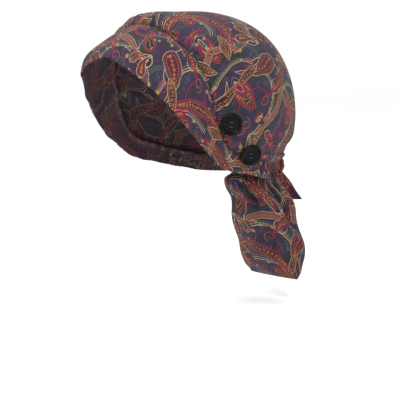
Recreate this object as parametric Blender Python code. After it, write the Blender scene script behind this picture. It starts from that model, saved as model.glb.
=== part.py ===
"""Ponytail work cap with side buttons, modelled as it is worn.

Metres, +Z up. The wearer faces -Y and the wearer's left side is +X. The origin is the
middle of the head. A direction from it is given by two angles in degrees: turn, which
is 0 at the forehead and 90 at the left ear, and rise, which is 90 straight up.
"""

import math
from collections import namedtuple

import bmesh
import bpy
import numpy as np
from mathutils import Matrix, Vector
from mathutils.bvhtree import BVHTree

# Head form that the cloth lies on, measured from the origin to the cloth
HEAD_HALF_WIDTH = 0.089
HEAD_FRONT = 0.100
HEAD_BACK = 0.122
HEAD_ABOVE = 0.0938
HEAD_BELOW = 0.103
ROUNDNESS = 2.28

# Cloth and the clearance between pieces
CLOTH = 0.0015
GAP = 0.0003
SWELL = 0.006
SEAM_DIP = 0.0032
SEAM_PUFF = 0.0044
PUFF_REACH = 0.012
DIP_REACH = 0.4 * PUFF_REACH
SEAM_CLEARANCE = 1.5 * GAP
SEAM_GATHER = 0.0026
GATHER_REACH = 0.030

# Front band, from its rim to the seam at the middle of the forehead
BAND_WIDTH = 0.054
BAND_END_WIDTH = 0.013
BAND_END_DROP = 0.0
BAND_END_TURN = 98.0
BAND_BLEND = 0.20

# Place where the cloth is drawn in behind the neck
CINCH_RADIUS = 0.022
CINCH_BACK = 0.0915
CINCH_DROP = 0.064
LINE_LIFT = 0.15
LINE_LIFT_SHARE = 0.22
LINE_LIFT_FROM = 0.25
LINE_LIFT_BLEND = 0.35
FUNNEL_LENGTH = 0.038
FUNNEL_SHARE = 0.85
FUNNEL_FLARE = 0.010
FUNNEL_CLIMB = 0.80
SIDE_CLIMB = 0.45
SIDE_CLIMB_FROM = 0.45
FLUTE_COUNT = 9
FLUTE_REACH = 1.6
FLUTE = 0.0026
TUBE_ABOVE_TIE = 0.0025

# Tie round the drawn-in cloth, its knot and its two free ends
TIE_HEIGHT = 0.011
TIE_THICK = 0.003
TIE_RUCHE = 0.0008
KNOT_WIDTH = 0.015
KNOT_HEIGHT = 0.013
KNOT_DEPTH = 0.0075
KNOT_TURN = 12.0
TIE_END_LENGTH = 0.040
TIE_END_WIDTH = 0.012
TIE_END_THICK = 0.0018

# Pouch for the hair, below the tie
POUCH_LENGTH = 0.116
POUCH_HALF_WIDTH = 0.045
POUCH_HALF_DEPTH = 0.028
POUCH_SLANT = 0.028
POUCH_FOLD = 0.008
FOLD_LIMIT = 0.4
FLUTE_FADE = 0.3

# Buttons
BUTTON_DIAMETER = 0.023
BUTTON_THICK = 0.0042
BUTTON_HOLE = 0.0020
BUTTON_HOLE_SPACING = 0.0044

# Mesh density
HALF_COLUMNS = 30
BAND_STEPS = 5
CROWN_STEPS = 19
TUBE_STEPS = 2
POUCH_COLUMNS = 40
RING_COLUMNS = 36

MOUTH_RISE = TIE_HEIGHT / 2 + TUBE_ABOVE_TIE

# Each row is a place along half of the band, 0 at the forehead and 1 at the tie.
# Angles are in degrees. Width is a share of BAND_WIDTH, dip of SEAM_DIP, puff of SEAM_PUFF.
BandRow = namedtuple("BandRow", "along rim_turn rim_rise seam_gain width dip puff")
BAND_ROWS = (
    BandRow(0.00, 0.0, 30.4, 0.0, 0.94, 1.00, 1.00),
    BandRow(0.10, 20.0, 24.8, 9.0, 1.04, 1.00, 1.00),
    BandRow(0.22, 37.7, 14.2, 14.3, 0.94, 0.70, 0.80),
    BandRow(0.34, 51.5, 1.2, 14.9, 0.92, 0.50, 0.70),
    BandRow(0.46, 65.0, -15.6, 9.5, 0.85, 0.50, 0.70),
    BandRow(0.54, 72.8, -24.2, 6.4, 0.58, 0.50, 0.70),
    BandRow(0.62, 83.7, -33.7, 3.3, 0.39, 0.50, 0.70),
    BandRow(0.74, 104.0, -38.6, 3.0, 0.31, 0.40, 0.60),
    BandRow(0.87, 132.0, -39.0, 1.0, 0.25, 0.20, 0.30),
)

# Soft hollows and swells of the cloth. Spread is in degrees, height is a share of SWELL.
SwellRow = namedtuple("SwellRow", "turn rise spread height")
SWELL_ROWS = (
    SwellRow(33.0, 27.0, 10.0, 0.80),
    SwellRow(-33.0, 27.0, 10.0, 0.80),
    SwellRow(20.0, 47.0, 11.0, -0.55),
    SwellRow(-20.0, 47.0, 11.0, -0.55),
    SwellRow(0.0, 88.0, 15.0, -0.20),
    SwellRow(180.0, 50.0, 28.0, 0.40),
    SwellRow(150.0, 18.0, 15.0, -0.25),
    SwellRow(-150.0, 18.0, 15.0, -0.25),
    SwellRow(142.0, -12.0, 15.0, 0.30),
    SwellRow(-142.0, -12.0, 15.0, 0.30),
)

# Gathers where the crown meets the band. Along is a place on the half band, negative
# on the wearer's right. Spread is in the same unit. Depth is a share of SEAM_GATHER.
GatherRow = namedtuple("GatherRow", "along spread depth")
GATHER_ROWS = (
    GatherRow(0.03, 0.010, 0.7),
    GatherRow(0.13, 0.012, 0.8),
    GatherRow(0.24, 0.010, 0.6),
    GatherRow(0.31, 0.011, 1.0),
    GatherRow(0.365, 0.010, 1.0),
    GatherRow(0.42, 0.012, 0.8),
    GatherRow(0.50, 0.012, 0.9),
    GatherRow(0.59, 0.013, 0.8),
    GatherRow(0.68, 0.014, 0.7),
    GatherRow(-0.06, 0.011, 0.8),
    GatherRow(-0.17, 0.012, 0.7),
    GatherRow(-0.27, 0.010, 0.8),
    GatherRow(-0.34, 0.012, 0.9),
    GatherRow(-0.40, 0.010, 0.7),
    GatherRow(-0.47, 0.012, 0.9),
    GatherRow(-0.56, 0.013, 0.8),
    GatherRow(-0.66, 0.014, 0.8),
)

# Sections of the pouch. Drop is a share of POUCH_LENGTH below the tie, back of
# POUCH_SLANT behind it, and the half sizes are shares of their named values.
PouchRow = namedtuple("PouchRow", "drop back half_width half_depth")
POUCH_ROWS = (
    PouchRow(0.10, -0.04, 0.60, 0.93),
    PouchRow(0.17, 0.04, 0.73, 1.00),
    PouchRow(0.29, 0.37, 0.87, 0.95),
    PouchRow(0.47, 0.49, 1.00, 0.96),
    PouchRow(0.67, 0.80, 1.00, 0.90),
    PouchRow(0.86, 0.95, 0.97, 0.72),
    PouchRow(0.96, 1.00, 0.92, 0.40),
    PouchRow(1.00, 1.00, 0.87, 0.12),
)

# Folds of the pouch. Turn is round the pouch from its back towards the wearer's left,
# drift is how far the fold turns on its way down, top and end are shares of the length.
FoldRow = namedtuple("FoldRow", "turn drift spread top end depth")
FOLD_ROWS = (
    FoldRow(157.0, -6.0, 10.0, 0.05, 0.42, 0.90),
    FoldRow(110.0, -34.0, 10.0, 0.10, 0.66, 0.45),
    FoldRow(60.0, 10.0, 11.0, 0.10, 0.70, 0.50),
    FoldRow(15.0, 6.0, 11.0, 0.10, 0.80, 0.55),
    FoldRow(-32.0, -8.0, 12.0, 0.08, 0.75, 0.60),
    FoldRow(-78.0, 12.0, 11.0, 0.12, 0.66, 0.50),
    FoldRow(-122.0, 8.0, 12.0, 0.10, 0.72, 0.60),
    FoldRow(-165.0, 4.0, 10.0, 0.12, 0.60, 0.55),
    FoldRow(136.0, 6.0, 9.0, 0.45, 0.92, 0.40),
)

# Free ends of the tie. Side, back and down are shares of TIE_END_LENGTH from the knot,
# half width is a share of TIE_END_WIDTH, and twist is in degrees round the strip.
EndRow = namedtuple("EndRow", "side back down half_width twist")
LEFT_END_ROWS = (
    EndRow(0.02, 0.00, 0.175, 0.42, 62.0),
    EndRow(0.09, 0.11, 0.43, 0.42, 56.0),
    EndRow(0.17, 0.24, 0.67, 0.44, 52.0),
    EndRow(0.24, 0.37, 0.90, 0.50, 50.0),
)
RIGHT_END_ROWS = (
    EndRow(-0.08, 0.03, 0.160, 0.28, 20.0),
    EndRow(-0.14, 0.15, 0.42, 0.34, 22.0),
    EndRow(-0.19, 0.25, 0.66, 0.45, 24.0),
    EndRow(-0.22, 0.36, 0.90, 0.50, 26.0),
)

# Buttons as seen from the origin, and the way that each of them faces
ButtonRow = namedtuple("ButtonRow", "label turn rise facing_turn facing_rise")
BUTTON_ROWS = (
    ButtonRow("upper", 87.0, -7.2, 68.0, -12.0),
    ButtonRow("lower", 104.6, -25.3, 78.0, -22.0),
)

# Outline of half a button, from the middle of its back to the middle of its face.
# Out is a share of the radius, up of the thickness.
OutlineRow = namedtuple("OutlineRow", "out up")
BUTTON_OUTLINE = (
    OutlineRow(0.00, 0.00),
    OutlineRow(0.80, 0.00),
    OutlineRow(1.00, 0.42),
    OutlineRow(0.97, 0.78),
    OutlineRow(0.84, 1.00),
    OutlineRow(0.70, 0.94),
    OutlineRow(0.58, 0.56),
    OutlineRow(0.00, 0.50),
)

Look = namedtuple("Look", "red green blue roughness")
LOOKS = {
    "band_print": Look(0.136, 0.070, 0.090, 0.85),
    "crown_print": Look(0.130, 0.070, 0.092, 0.85),
    "pouch_print": Look(0.120, 0.062, 0.080, 0.85),
    "tie_print": Look(0.150, 0.072, 0.082, 0.85),
    "button_black": Look(0.010, 0.010, 0.011, 0.28),
}

UP = np.array([0.0, 0.0, 1.0])
CINCH = np.array([0.0, CINCH_BACK, -CINCH_DROP])


def clear_scene():
    for thing in list(bpy.data.objects):
        bpy.data.objects.remove(thing, do_unlink=True)


def ease(value):
    """0 below 0, 1 above 1 and a smooth step between."""
    share = np.clip(value, 0.0, 1.0)
    return share * share * (3.0 - 2.0 * share)


def length(points):
    return np.linalg.norm(points, axis=-1, keepdims=True)


def direction(turn, rise):
    turn = np.radians(turn)
    rise = np.radians(rise)
    flat = np.cos(rise)
    return np.stack([np.sin(turn) * flat, -np.cos(turn) * flat, np.sin(rise)], -1)


def angles(point):
    """Turn and rise of a point as seen from the origin."""
    turn = math.degrees(math.atan2(point[0], -point[1]))
    rise = math.degrees(math.atan2(point[2], math.hypot(point[0], point[1])))
    return turn, rise


def round_cinch(turn):
    """Level direction from the middle of the cinch, 0 at its back."""
    turn = np.radians(turn)
    return np.stack([np.sin(turn), np.cos(turn), np.zeros_like(turn)], -1)


def smooth(knots, values, at):
    """Curve through the values, with slopes taken from their neighbours."""
    knots = np.asarray(knots, float)
    values = np.asarray(values, float)
    slopes = np.gradient(values, knots)
    index = np.clip(np.searchsorted(knots, at, side="right") - 1, 0, len(knots) - 2)
    span = knots[index + 1] - knots[index]
    share = (at - knots[index]) / span
    back = 1.0 - share
    ends = values[index] * (1.0 + 2.0 * share) * back ** 2
    ends = ends + values[index + 1] * (3.0 - 2.0 * share) * share ** 2
    lean = slopes[index] * share * back ** 2 - slopes[index + 1] * back * share ** 2
    return ends + lean * span


def head_radius(ways):
    """Distance from the origin to the plain head form along unit directions."""
    depth = np.where(ways[..., 1] < 0.0, HEAD_FRONT, HEAD_BACK)
    height = np.where(ways[..., 2] > 0.0, HEAD_ABOVE, HEAD_BELOW)
    total = np.abs(ways[..., 0] / HEAD_HALF_WIDTH) ** ROUNDNESS
    total = total + np.abs(ways[..., 1] / depth) ** ROUNDNESS
    total = total + np.abs(ways[..., 2] / height) ** ROUNDNESS
    return total ** (-1.0 / ROUNDNESS)


def swells(ways):
    total = np.zeros(ways.shape[:-1])
    for row in SWELL_ROWS:
        near = ways @ direction(row.turn, row.rise)
        apart = np.degrees(np.arccos(np.clip(near, -1.0, 1.0)))
        total = total + row.height * SWELL * np.exp(-((apart / row.spread) ** 2))
    return total


def band_end(across):
    """Middle of the band's end beside the tie, 0 at the rim and 1 at the seam."""
    reach = CINCH_RADIUS + GAP + TIE_THICK + TIE_RUCHE + GAP + CLOTH
    side = CINCH + reach * round_cinch(BAND_END_TURN)
    return side + UP * ((across - 0.5) * BAND_END_WIDTH - BAND_END_DROP)


def band_column(name, at):
    """One column of the band's table at places along the half band."""
    rim_turn, rim_rise = angles(band_end(0.0))
    seam_turn, seam_rise = angles(band_end(1.0))
    width = math.radians(seam_rise - rim_rise) * HEAD_ABOVE / BAND_WIDTH
    last = BandRow(1.0, rim_turn, rim_rise, seam_turn - rim_turn, width, 0.0, 0.0)
    rows = BAND_ROWS + (last,)
    mirror = -1.0 if name in ("rim_turn", "seam_gain") else 1.0
    knots = [-rows[1].along] + [row.along for row in rows]
    values = [mirror * getattr(rows[1], name)] + [getattr(row, name) for row in rows]
    return smooth(knots, values, np.abs(at))


def band_direction(along, across):
    gain = band_column("seam_gain", along)
    width = band_column("width", along) * math.degrees(BAND_WIDTH / HEAD_ABOVE)
    turn = band_column("rim_turn", along) + across * gain
    rise = band_column("rim_rise", along) + across * width
    return direction(np.sign(along) * turn, rise)


def band_radius(ways, along, across):
    dip = band_column("dip", along) * SEAM_DIP * across ** 4
    plain = head_radius(ways) + swells(ways) - dip
    end = length(band_end(across[..., None]))[..., 0]
    share = ease((np.abs(along) - 1.0 + BAND_BLEND) / BAND_BLEND)
    return plain * (1.0 - share) + end * share


def band_surface():
    along, across = np.meshgrid(
        np.linspace(-1.0, 1.0, 2 * HALF_COLUMNS + 1),
        np.linspace(0.0, 1.0, BAND_STEPS + 1),
    )
    ways = band_direction(along, across)
    return ways * band_radius(ways, along, across)[..., None]


def between(first, second, share, lift):
    """Directions from one unit direction to another, on an arc lifted in its middle."""
    angle = np.arccos(np.clip(np.sum(first * second, -1), -1.0, 1.0))
    start = np.sin((1.0 - share) * angle) / np.sin(angle)
    end = np.sin(share * angle) / np.sin(angle)
    height = np.minimum(lift, LINE_LIFT_SHARE * angle) * np.sin(np.pi * share)
    ways = start[..., None] * first + end[..., None] * second + UP * height[..., None]
    return ways / length(ways)


def flutes(turn):
    """Share of the flute depth round the drawn-in cloth, 0 on the crests."""
    angle = np.radians(turn)
    return 0.5 - 0.5 * np.cos(FLUTE_COUNT * angle + 0.9 * np.sin(2.0 * angle) + 0.4)


def seam_gathers(along):
    total = np.zeros_like(along)
    for row in GATHER_ROWS:
        total = total + row.depth * np.exp(-(((along - row.along) / row.spread) ** 2))
    return total * SEAM_GATHER


def crown_surface():
    """Rows from the seam back over the head and down to the tie."""
    along, down = np.meshgrid(
        np.linspace(-1.0, 1.0, 2 * HALF_COLUMNS + 1),
        np.linspace(0.0, 1.0, CROWN_STEPS + 1) ** 1.15,
    )
    turn = along * BAND_END_TURN
    outward = round_cinch(turn)
    mouth = CINCH + outward * CINCH_RADIUS + UP * MOUTH_RISE
    seam = band_direction(along, np.ones_like(along))
    edge = band_radius(seam, along, np.ones_like(along))
    target = mouth / length(mouth)
    whole = edge * np.arccos(np.clip(np.sum(seam * target, -1), -1.0, 1.0))
    start = SEAM_CLEARANCE / whole
    lift = LINE_LIFT * ease((np.abs(along) - LINE_LIFT_FROM) / LINE_LIFT_BLEND)
    ways = between(seam, target, start + (1.0 - start) * down, lift)
    walked = down * whole
    left = whole - walked

    rise_again = np.exp(-walked / DIP_REACH)
    puff = (walked / PUFF_REACH) * np.exp(1.0 - walked / PUFF_REACH)
    offset = band_column("puff", along) * SEAM_PUFF * puff
    offset = offset - band_column("dip", along) * SEAM_DIP * rise_again
    gather = np.exp(-walked / GATHER_REACH) * (1.0 - rise_again)
    offset = offset - seam_gathers(along) * gather

    funnel = np.minimum(FUNNEL_LENGTH, FUNNEL_SHARE * whole)
    share = ease(1.0 - left / funnel)
    creases = FLUTE * flutes(turn) * ease(1.0 - left / (FLUTE_REACH * funnel))
    beside = ease((np.abs(along) - SIDE_CLIMB_FROM) / (1.0 - SIDE_CLIMB_FROM))
    climb = FUNNEL_CLIMB + (SIDE_CLIMB - FUNNEL_CLIMB) * beside
    plain = head_radius(ways) + swells(ways) + offset * (1.0 - share) - creases
    plain = plain + (edge - head_radius(seam) - swells(seam)
                     + band_column("dip", along) * SEAM_DIP) * (1.0 - down) ** 2
    lies = ways * plain[..., None]
    flare = FUNNEL_FLARE * (left / FUNNEL_LENGTH) ** 2 - creases
    hangs = mouth + outward * flare[..., None] + UP * (climb * left)[..., None]
    surface = lies * (1.0 - share[..., None]) + hangs * share[..., None]

    depth = np.linspace(1.0, 0.0, TUBE_STEPS + 1)[1:]
    rows = [surface]
    for part in depth:
        level = GAP / 2 + part * (MOUTH_RISE - GAP / 2)
        tube = CINCH + outward[:1] * (CINCH_RADIUS - FLUTE * flutes(turn[:1]))[..., None]
        rows.append(tube + UP * level)
    return np.concatenate(rows)


def pouch_column(name, drop):
    """One column of the pouch's table, which starts as the round end of the crown."""
    width = CINCH_RADIUS / POUCH_HALF_WIDTH
    depth = CINCH_RADIUS / POUCH_HALF_DEPTH
    neck = MOUTH_RISE / POUCH_LENGTH
    rows = (PouchRow(0.0, 0.0, width, depth), PouchRow(neck, 0.0, width, depth)) + POUCH_ROWS
    return smooth([row.drop for row in rows], [getattr(row, name) for row in rows], drop)


def pouch_folds(turn, drop):
    total = np.zeros_like(turn)
    for row in FOLD_ROWS:
        middle = (row.top + row.end) / 2
        reach = (row.end - row.top) / 2
        centre = row.turn + row.drift * (drop - row.top) / (row.end - row.top)
        apart = (turn - centre + 180.0) % 360.0 - 180.0
        along = ease(1.4 * (1.0 - np.abs(drop - middle) / reach))
        total = total + row.depth * along * np.exp(-((apart / row.spread) ** 2))
    return total * POUCH_FOLD


def pouch_surface():
    """Rows from the tie down to the flat bottom seam."""
    neck = MOUTH_RISE / POUCH_LENGTH
    first = GAP / 2 / POUCH_LENGTH
    drops = [first, 0.6 * neck, 0.075, 0.10, 0.135, 0.17, 0.22, 0.28, 0.36, 0.45]
    drops = drops + [0.55, 0.65, 0.75, 0.84, 0.91, 0.96, 0.99, 1.0]
    turns = np.arange(POUCH_COLUMNS) * 360.0 / POUCH_COLUMNS
    turn, drop = np.meshgrid(turns, np.array(drops))
    outward = round_cinch(turn)
    half_width = pouch_column("half_width", drop) * POUCH_HALF_WIDTH
    half_depth = pouch_column("half_depth", drop) * POUCH_HALF_DEPTH
    crease = FLUTE * flutes(turn) * ease(1.0 - (drop - neck) / FLUTE_FADE)
    inward = crease + pouch_folds(turn, drop)
    middle = np.zeros_like(outward)
    middle[..., 1] = pouch_column("back", drop) * POUCH_SLANT
    middle[..., 2] = -drop * POUCH_LENGTH
    size = np.stack([half_width, half_depth, np.zeros_like(drop)], -1)
    inward = np.minimum(inward, FOLD_LIMIT * half_depth)
    return CINCH + middle + outward * size - outward * inward[..., None]


def surface_normals(grid, closed):
    """Unit normals of a grid of points, outward for rows that run down the cloth."""
    if closed:
        across = np.roll(grid, -1, 1) - np.roll(grid, 1, 1)
    else:
        across = np.gradient(grid, axis=1)
    along = np.gradient(grid, axis=0)
    normals = np.cross(across, along)
    return normals / length(normals)


def add_object(name, vertices, faces, look):
    """A closed mesh with outward faces, smooth except at its sharp edges."""
    mesh = bpy.data.meshes.new(name)
    mesh.from_pydata([tuple(map(float, point)) for point in vertices], [], faces)
    work = bmesh.new()
    work.from_mesh(mesh)
    bmesh.ops.recalc_face_normals(work, faces=work.faces)
    work.to_mesh(mesh)
    work.free()
    mesh.shade_smooth()
    mesh.set_sharp_from_angle(angle=math.radians(50.0))
    mesh.materials.append(material(look))
    thing = bpy.data.objects.new(name, mesh)
    bpy.context.scene.collection.objects.link(thing)
    return thing


def material(look):
    if look in bpy.data.materials:
        return bpy.data.materials[look]
    values = LOOKS[look]
    made = bpy.data.materials.new(look)
    made.use_nodes = True
    shader = made.node_tree.nodes["Principled BSDF"]
    shader.inputs["Base Color"].default_value = (values.red, values.green, values.blue, 1.0)
    shader.inputs["Roughness"].default_value = values.roughness
    shader.inputs["Metallic"].default_value = 0.0
    return made


def grid_faces(rows, columns, start, closed, reverse):
    """Quads of a grid whose vertices are numbered row by row from start."""
    faces = []
    for row in range(rows - 1):
        for column in range(columns if closed else columns - 1):
            after = (column + 1) % columns
            quad = [
                start + row * columns + column,
                start + row * columns + after,
                start + (row + 1) * columns + after,
                start + (row + 1) * columns + column,
            ]
            faces.append(quad[::-1] if reverse else quad)
    return faces


def cloth_sheet(name, grid, look):
    """A sheet of cloth, open on all four sides, with its wall on the inside."""
    rows, columns = grid.shape[:2]
    inner = grid - surface_normals(grid, False) * CLOTH
    vertices = np.concatenate([grid.reshape(-1, 3), inner.reshape(-1, 3)])
    count = rows * columns
    faces = grid_faces(rows, columns, 0, False, False)
    faces += grid_faces(rows, columns, count, False, True)
    border = [column for column in range(columns)]
    border += [row * columns + columns - 1 for row in range(1, rows)]
    border += [(rows - 1) * columns + column for column in range(columns - 2, -1, -1)]
    border += [row * columns for row in range(rows - 2, 0, -1)]
    for place, vertex in enumerate(border):
        after = border[(place + 1) % len(border)]
        faces.append([after, vertex, count + vertex, count + after])
    return add_object(name, vertices, faces, look)


def zip_ring(start, columns):
    """Faces that close a flat ring of vertices along its width."""
    quarter = columns // 4
    half = columns // 2
    faces = []
    for step in range(-quarter, quarter):
        back = start + step % columns
        back_after = start + (step + 1) % columns
        front = start + (half - step) % columns
        front_after = start + (half - step - 1) % columns
        ring = [back, back_after, front_after, front]
        faces.append(list(dict.fromkeys(ring)))
    return faces


def cloth_bag(name, grid, look):
    """A bag of cloth, open at its first row and closed flat at its last."""
    rows, columns = grid.shape[:2]
    inner = grid - surface_normals(grid, True) * CLOTH
    inner[0, :, 2] = grid[0, :, 2]
    inner[-1] = grid[-1] * 0.93 + grid[-1].mean(0) * 0.07
    inner[-1, :, 1] = grid[-1, :, 1] * 0.5 + grid[-1, :, 1].mean() * 0.5
    inner[-1, :, 2] = grid[-1, :, 2] + CLOTH
    inner[-2, :, 2] = np.maximum(inner[-2, :, 2], inner[-1, :, 2] + 0.5 * CLOTH)
    vertices = np.concatenate([grid.reshape(-1, 3), inner.reshape(-1, 3)])
    count = rows * columns
    faces = grid_faces(rows, columns, 0, True, False)
    faces += grid_faces(rows, columns, count, True, True)
    for column in range(columns):
        after = (column + 1) % columns
        faces.append([after, column, count + column, count + after])
    faces += zip_ring((rows - 1) * columns, columns)
    faces += zip_ring(count + (rows - 1) * columns, columns)
    return add_object(name, vertices, faces, look)


def make_tie_wrap():
    """Ruched ring of the tie round the drawn-in cloth."""
    turns = np.arange(RING_COLUMNS) * 360.0 / RING_COLUMNS
    sides = np.arange(8) * 45.0 + 22.5
    turn, side = np.meshgrid(turns, sides)
    out = np.cos(np.radians(side))
    up = np.sin(np.radians(side))
    corner = np.maximum(np.abs(out), np.abs(up))
    ruche = 0.5 + 0.5 * np.cos(np.radians(11.0 * turn) + 2.0 * up)
    reach = CINCH_RADIUS + GAP + TIE_THICK / 2 + out / corner * TIE_THICK / 2 * 0.97
    reach = reach + np.where(out > 0.0, TIE_RUCHE * ruche, 0.0)
    level = up / corner * TIE_HEIGHT / 2 * np.where(np.abs(out) > 0.5, 0.72, 1.0)
    ring = CINCH + round_cinch(turn) * reach[..., None] + UP * level[..., None]
    rows, columns = ring.shape[:2]
    faces = grid_faces(rows, columns, 0, True, False)
    for column in range(columns):
        after = (column + 1) % columns
        last = (rows - 1) * columns
        faces.append([last + column, last + after, after, column])
    return add_object("tie_wrap", ring.reshape(-1, 3), faces, "tie_print")


def knot_centre():
    reach = CINCH_RADIUS + 2 * GAP + TIE_THICK + TIE_RUCHE + KNOT_DEPTH / 2
    return CINCH + reach * round_cinch(KNOT_TURN)


def make_tie_knot():
    """Knot as a ball flattened towards the cinch, with two wraps pressed into it."""
    rings, columns = 9, 16
    outward = round_cinch(KNOT_TURN)
    beside = np.cross(UP, outward)
    points = [knot_centre() + UP * KNOT_HEIGHT / 2]
    for ring in range(1, rings):
        fall = math.pi * ring / rings
        for column in range(columns):
            round_it = 2 * math.pi * column / columns
            wide = math.sin(fall) * math.cos(round_it)
            deep = math.sin(fall) * math.sin(round_it)
            high = math.cos(fall)
            press = 1.0 - 0.10 * math.cos(5.0 * (high + 0.5 * wide)) ** 2 * math.sin(fall)
            point = beside * wide * KNOT_WIDTH / 2 + outward * deep * KNOT_DEPTH / 2
            points.append(knot_centre() + (point + UP * high * KNOT_HEIGHT / 2) * press)
    points.append(knot_centre() - UP * KNOT_HEIGHT / 2)
    faces = grid_faces(rings - 1, columns, 1, True, False)
    last = len(points) - 1
    for column in range(columns):
        after = (column + 1) % columns
        faces.append([0, 1 + after, 1 + column])
        faces.append([last, last - columns + column, last - columns + after])
    return add_object("tie_knot", points, faces, "tie_print")


def make_tie_end(name, rows, stations=9, across=3):
    """A flat strip of folded cloth that hangs from the knot."""
    knots = np.linspace(0.0, 1.0, len(rows))
    points = []
    for place in np.linspace(0.0, 1.0, stations):
        side, back, down, half, twist = (
            float(smooth(knots, [getattr(row, name) for row in rows], place))
            for name in EndRow._fields
        )
        centre = knot_centre() + TIE_END_LENGTH * np.array([side, back, -down])
        turn = math.radians(twist)
        wide = np.array([math.cos(turn), math.sin(turn), 0.0])
        thick = np.array([-math.sin(turn), math.cos(turn), 0.25])
        thick = thick / np.linalg.norm(thick) * TIE_END_THICK / 2
        for face in (1.0, -1.0):
            for step in np.linspace(-1.0, 1.0, across)[:: int(face)]:
                cup = 0.10 * TIE_END_WIDTH * (step * step - 0.5) * half * 2.0
                middle = centre + wide * step * half * TIE_END_WIDTH
                points.append(middle + thick * face + thick / TIE_END_THICK * 2 * cup)
    columns = 2 * across
    faces = grid_faces(stations, columns, 0, True, False)
    for start in (0, (stations - 1) * columns):
        for step in range(across - 1):
            low = start + step
            high = start + columns - 1 - step
            faces.append([low, low + 1, high - 1, high])
    return add_object(name, points, faces, "tie_print")


def button_mesh():
    """A four-hole button that lies on the plane z = 0 and faces +Z."""
    segments = 20
    radius = BUTTON_DIAMETER / 2
    points = [(0.0, 0.0, 0.0)]
    for row in BUTTON_OUTLINE[1:-1]:
        for step in range(segments):
            angle = 2 * math.pi * step / segments
            out = radius * row.out
            points.append((out * math.cos(angle), out * math.sin(angle), BUTTON_THICK * row.up))
    points.append((0.0, 0.0, BUTTON_THICK * BUTTON_OUTLINE[-1].up))
    faces = grid_faces(len(BUTTON_OUTLINE) - 2, segments, 1, True, False)
    last = len(points) - 1
    for step in range(segments):
        after = (step + 1) % segments
        faces.append([0, 1 + after, 1 + step])
        faces.append([last, last - segments + step, last - segments + after])
    blank = add_object("button_blank", points, faces, "button_black")

    drill_mesh = bpy.data.meshes.new("button_drill")
    work = bmesh.new()
    for quarter in range(4):
        angle = math.radians(45.0 + 90.0 * quarter)
        out = BUTTON_HOLE_SPACING / 2 * math.sqrt(2.0)
        place = Vector((out * math.cos(angle), out * math.sin(angle), BUTTON_THICK / 2))
        bmesh.ops.create_cone(
            work,
            cap_ends=True,
            segments=8,
            radius1=BUTTON_HOLE / 2,
            radius2=BUTTON_HOLE / 2,
            depth=2 * BUTTON_THICK,
            matrix=Matrix.Translation(place),
        )
    work.to_mesh(drill_mesh)
    work.free()
    drill = bpy.data.objects.new("button_drill", drill_mesh)
    drill.hide_render = True
    drill.display_type = "WIRE"
    bpy.context.scene.collection.objects.link(drill)
    holes = blank.modifiers.new("holes", "BOOLEAN")
    holes.operation = "DIFFERENCE"
    holes.object = drill
    bpy.context.view_layer.update()
    seen = blank.evaluated_get(bpy.context.evaluated_depsgraph_get())
    mesh = bpy.data.meshes.new_from_object(seen)
    mesh.name = "button"
    mesh.set_sharp_from_angle(angle=math.radians(40.0))
    for thing in (blank, drill):
        bpy.data.objects.remove(thing, do_unlink=True)
    return mesh


def cloth_tree(things):
    """The faces of some cloth pieces, to find where a line meets them."""
    vertices = []
    faces = []
    for thing in things:
        start = len(vertices)
        vertices += [vertex.co for vertex in thing.data.vertices]
        faces += [[start + index for index in face.vertices] for face in thing.data.polygons]
    return BVHTree.FromPolygons(vertices, faces)


def make_button(mesh, row, side, cloth):
    """A button whose back just clears the cloth that it leans against."""
    way = Vector(direction(side * row.turn, row.rise))
    facing = Vector(direction(side * row.facing_turn, row.facing_rise))
    sideways = Vector(UP).cross(facing).normalized()
    upright = facing.cross(sideways)
    outside = 2.0 * max(HEAD_HALF_WIDTH, HEAD_BACK)
    start = cloth.ray_cast(way * outside, -way)[0]
    nearest = outside
    for out in (0.0, 0.4, 0.7, 0.88, 1.0):
        for step in range(24):
            angle = 2 * math.pi * step / 24
            beside = sideways * math.cos(angle) + upright * math.sin(angle)
            above = start + beside * out * BUTTON_DIAMETER / 2 + facing * BUTTON_DIAMETER
            found = cloth.ray_cast(above, -facing)
            if found[3] is not None:
                nearest = min(nearest, found[3])
    place = start + facing * (BUTTON_DIAMETER - nearest + GAP)
    name = f"button_{row.label}_{'left' if side > 0 else 'right'}"
    thing = bpy.data.objects.new(name, mesh)
    turned = Matrix((sideways, upright, facing)).transposed()
    thing.matrix_world = Matrix.Translation(place) @ turned.to_4x4()
    bpy.context.scene.collection.objects.link(thing)


def main():
    clear_scene()
    band = cloth_sheet("front_band", band_surface(), "band_print")
    crown = cloth_sheet("crown", crown_surface(), "crown_print")
    cloth_bag("ponytail_pouch", pouch_surface(), "pouch_print")
    make_tie_wrap()
    make_tie_knot()
    make_tie_end("tie_end_left", LEFT_END_ROWS)
    make_tie_end("tie_end_right", RIGHT_END_ROWS)
    shared = button_mesh()
    cloth = cloth_tree((band, crown))
    for row in BUTTON_ROWS:
        for side in (1, -1):
            make_button(shared, row, side, cloth)


main()
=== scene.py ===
import math
import bmesh
import bpy
import numpy as np
from mathutils import Matrix, Vector
from mathutils.bvhtree import BVHTree


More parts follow.
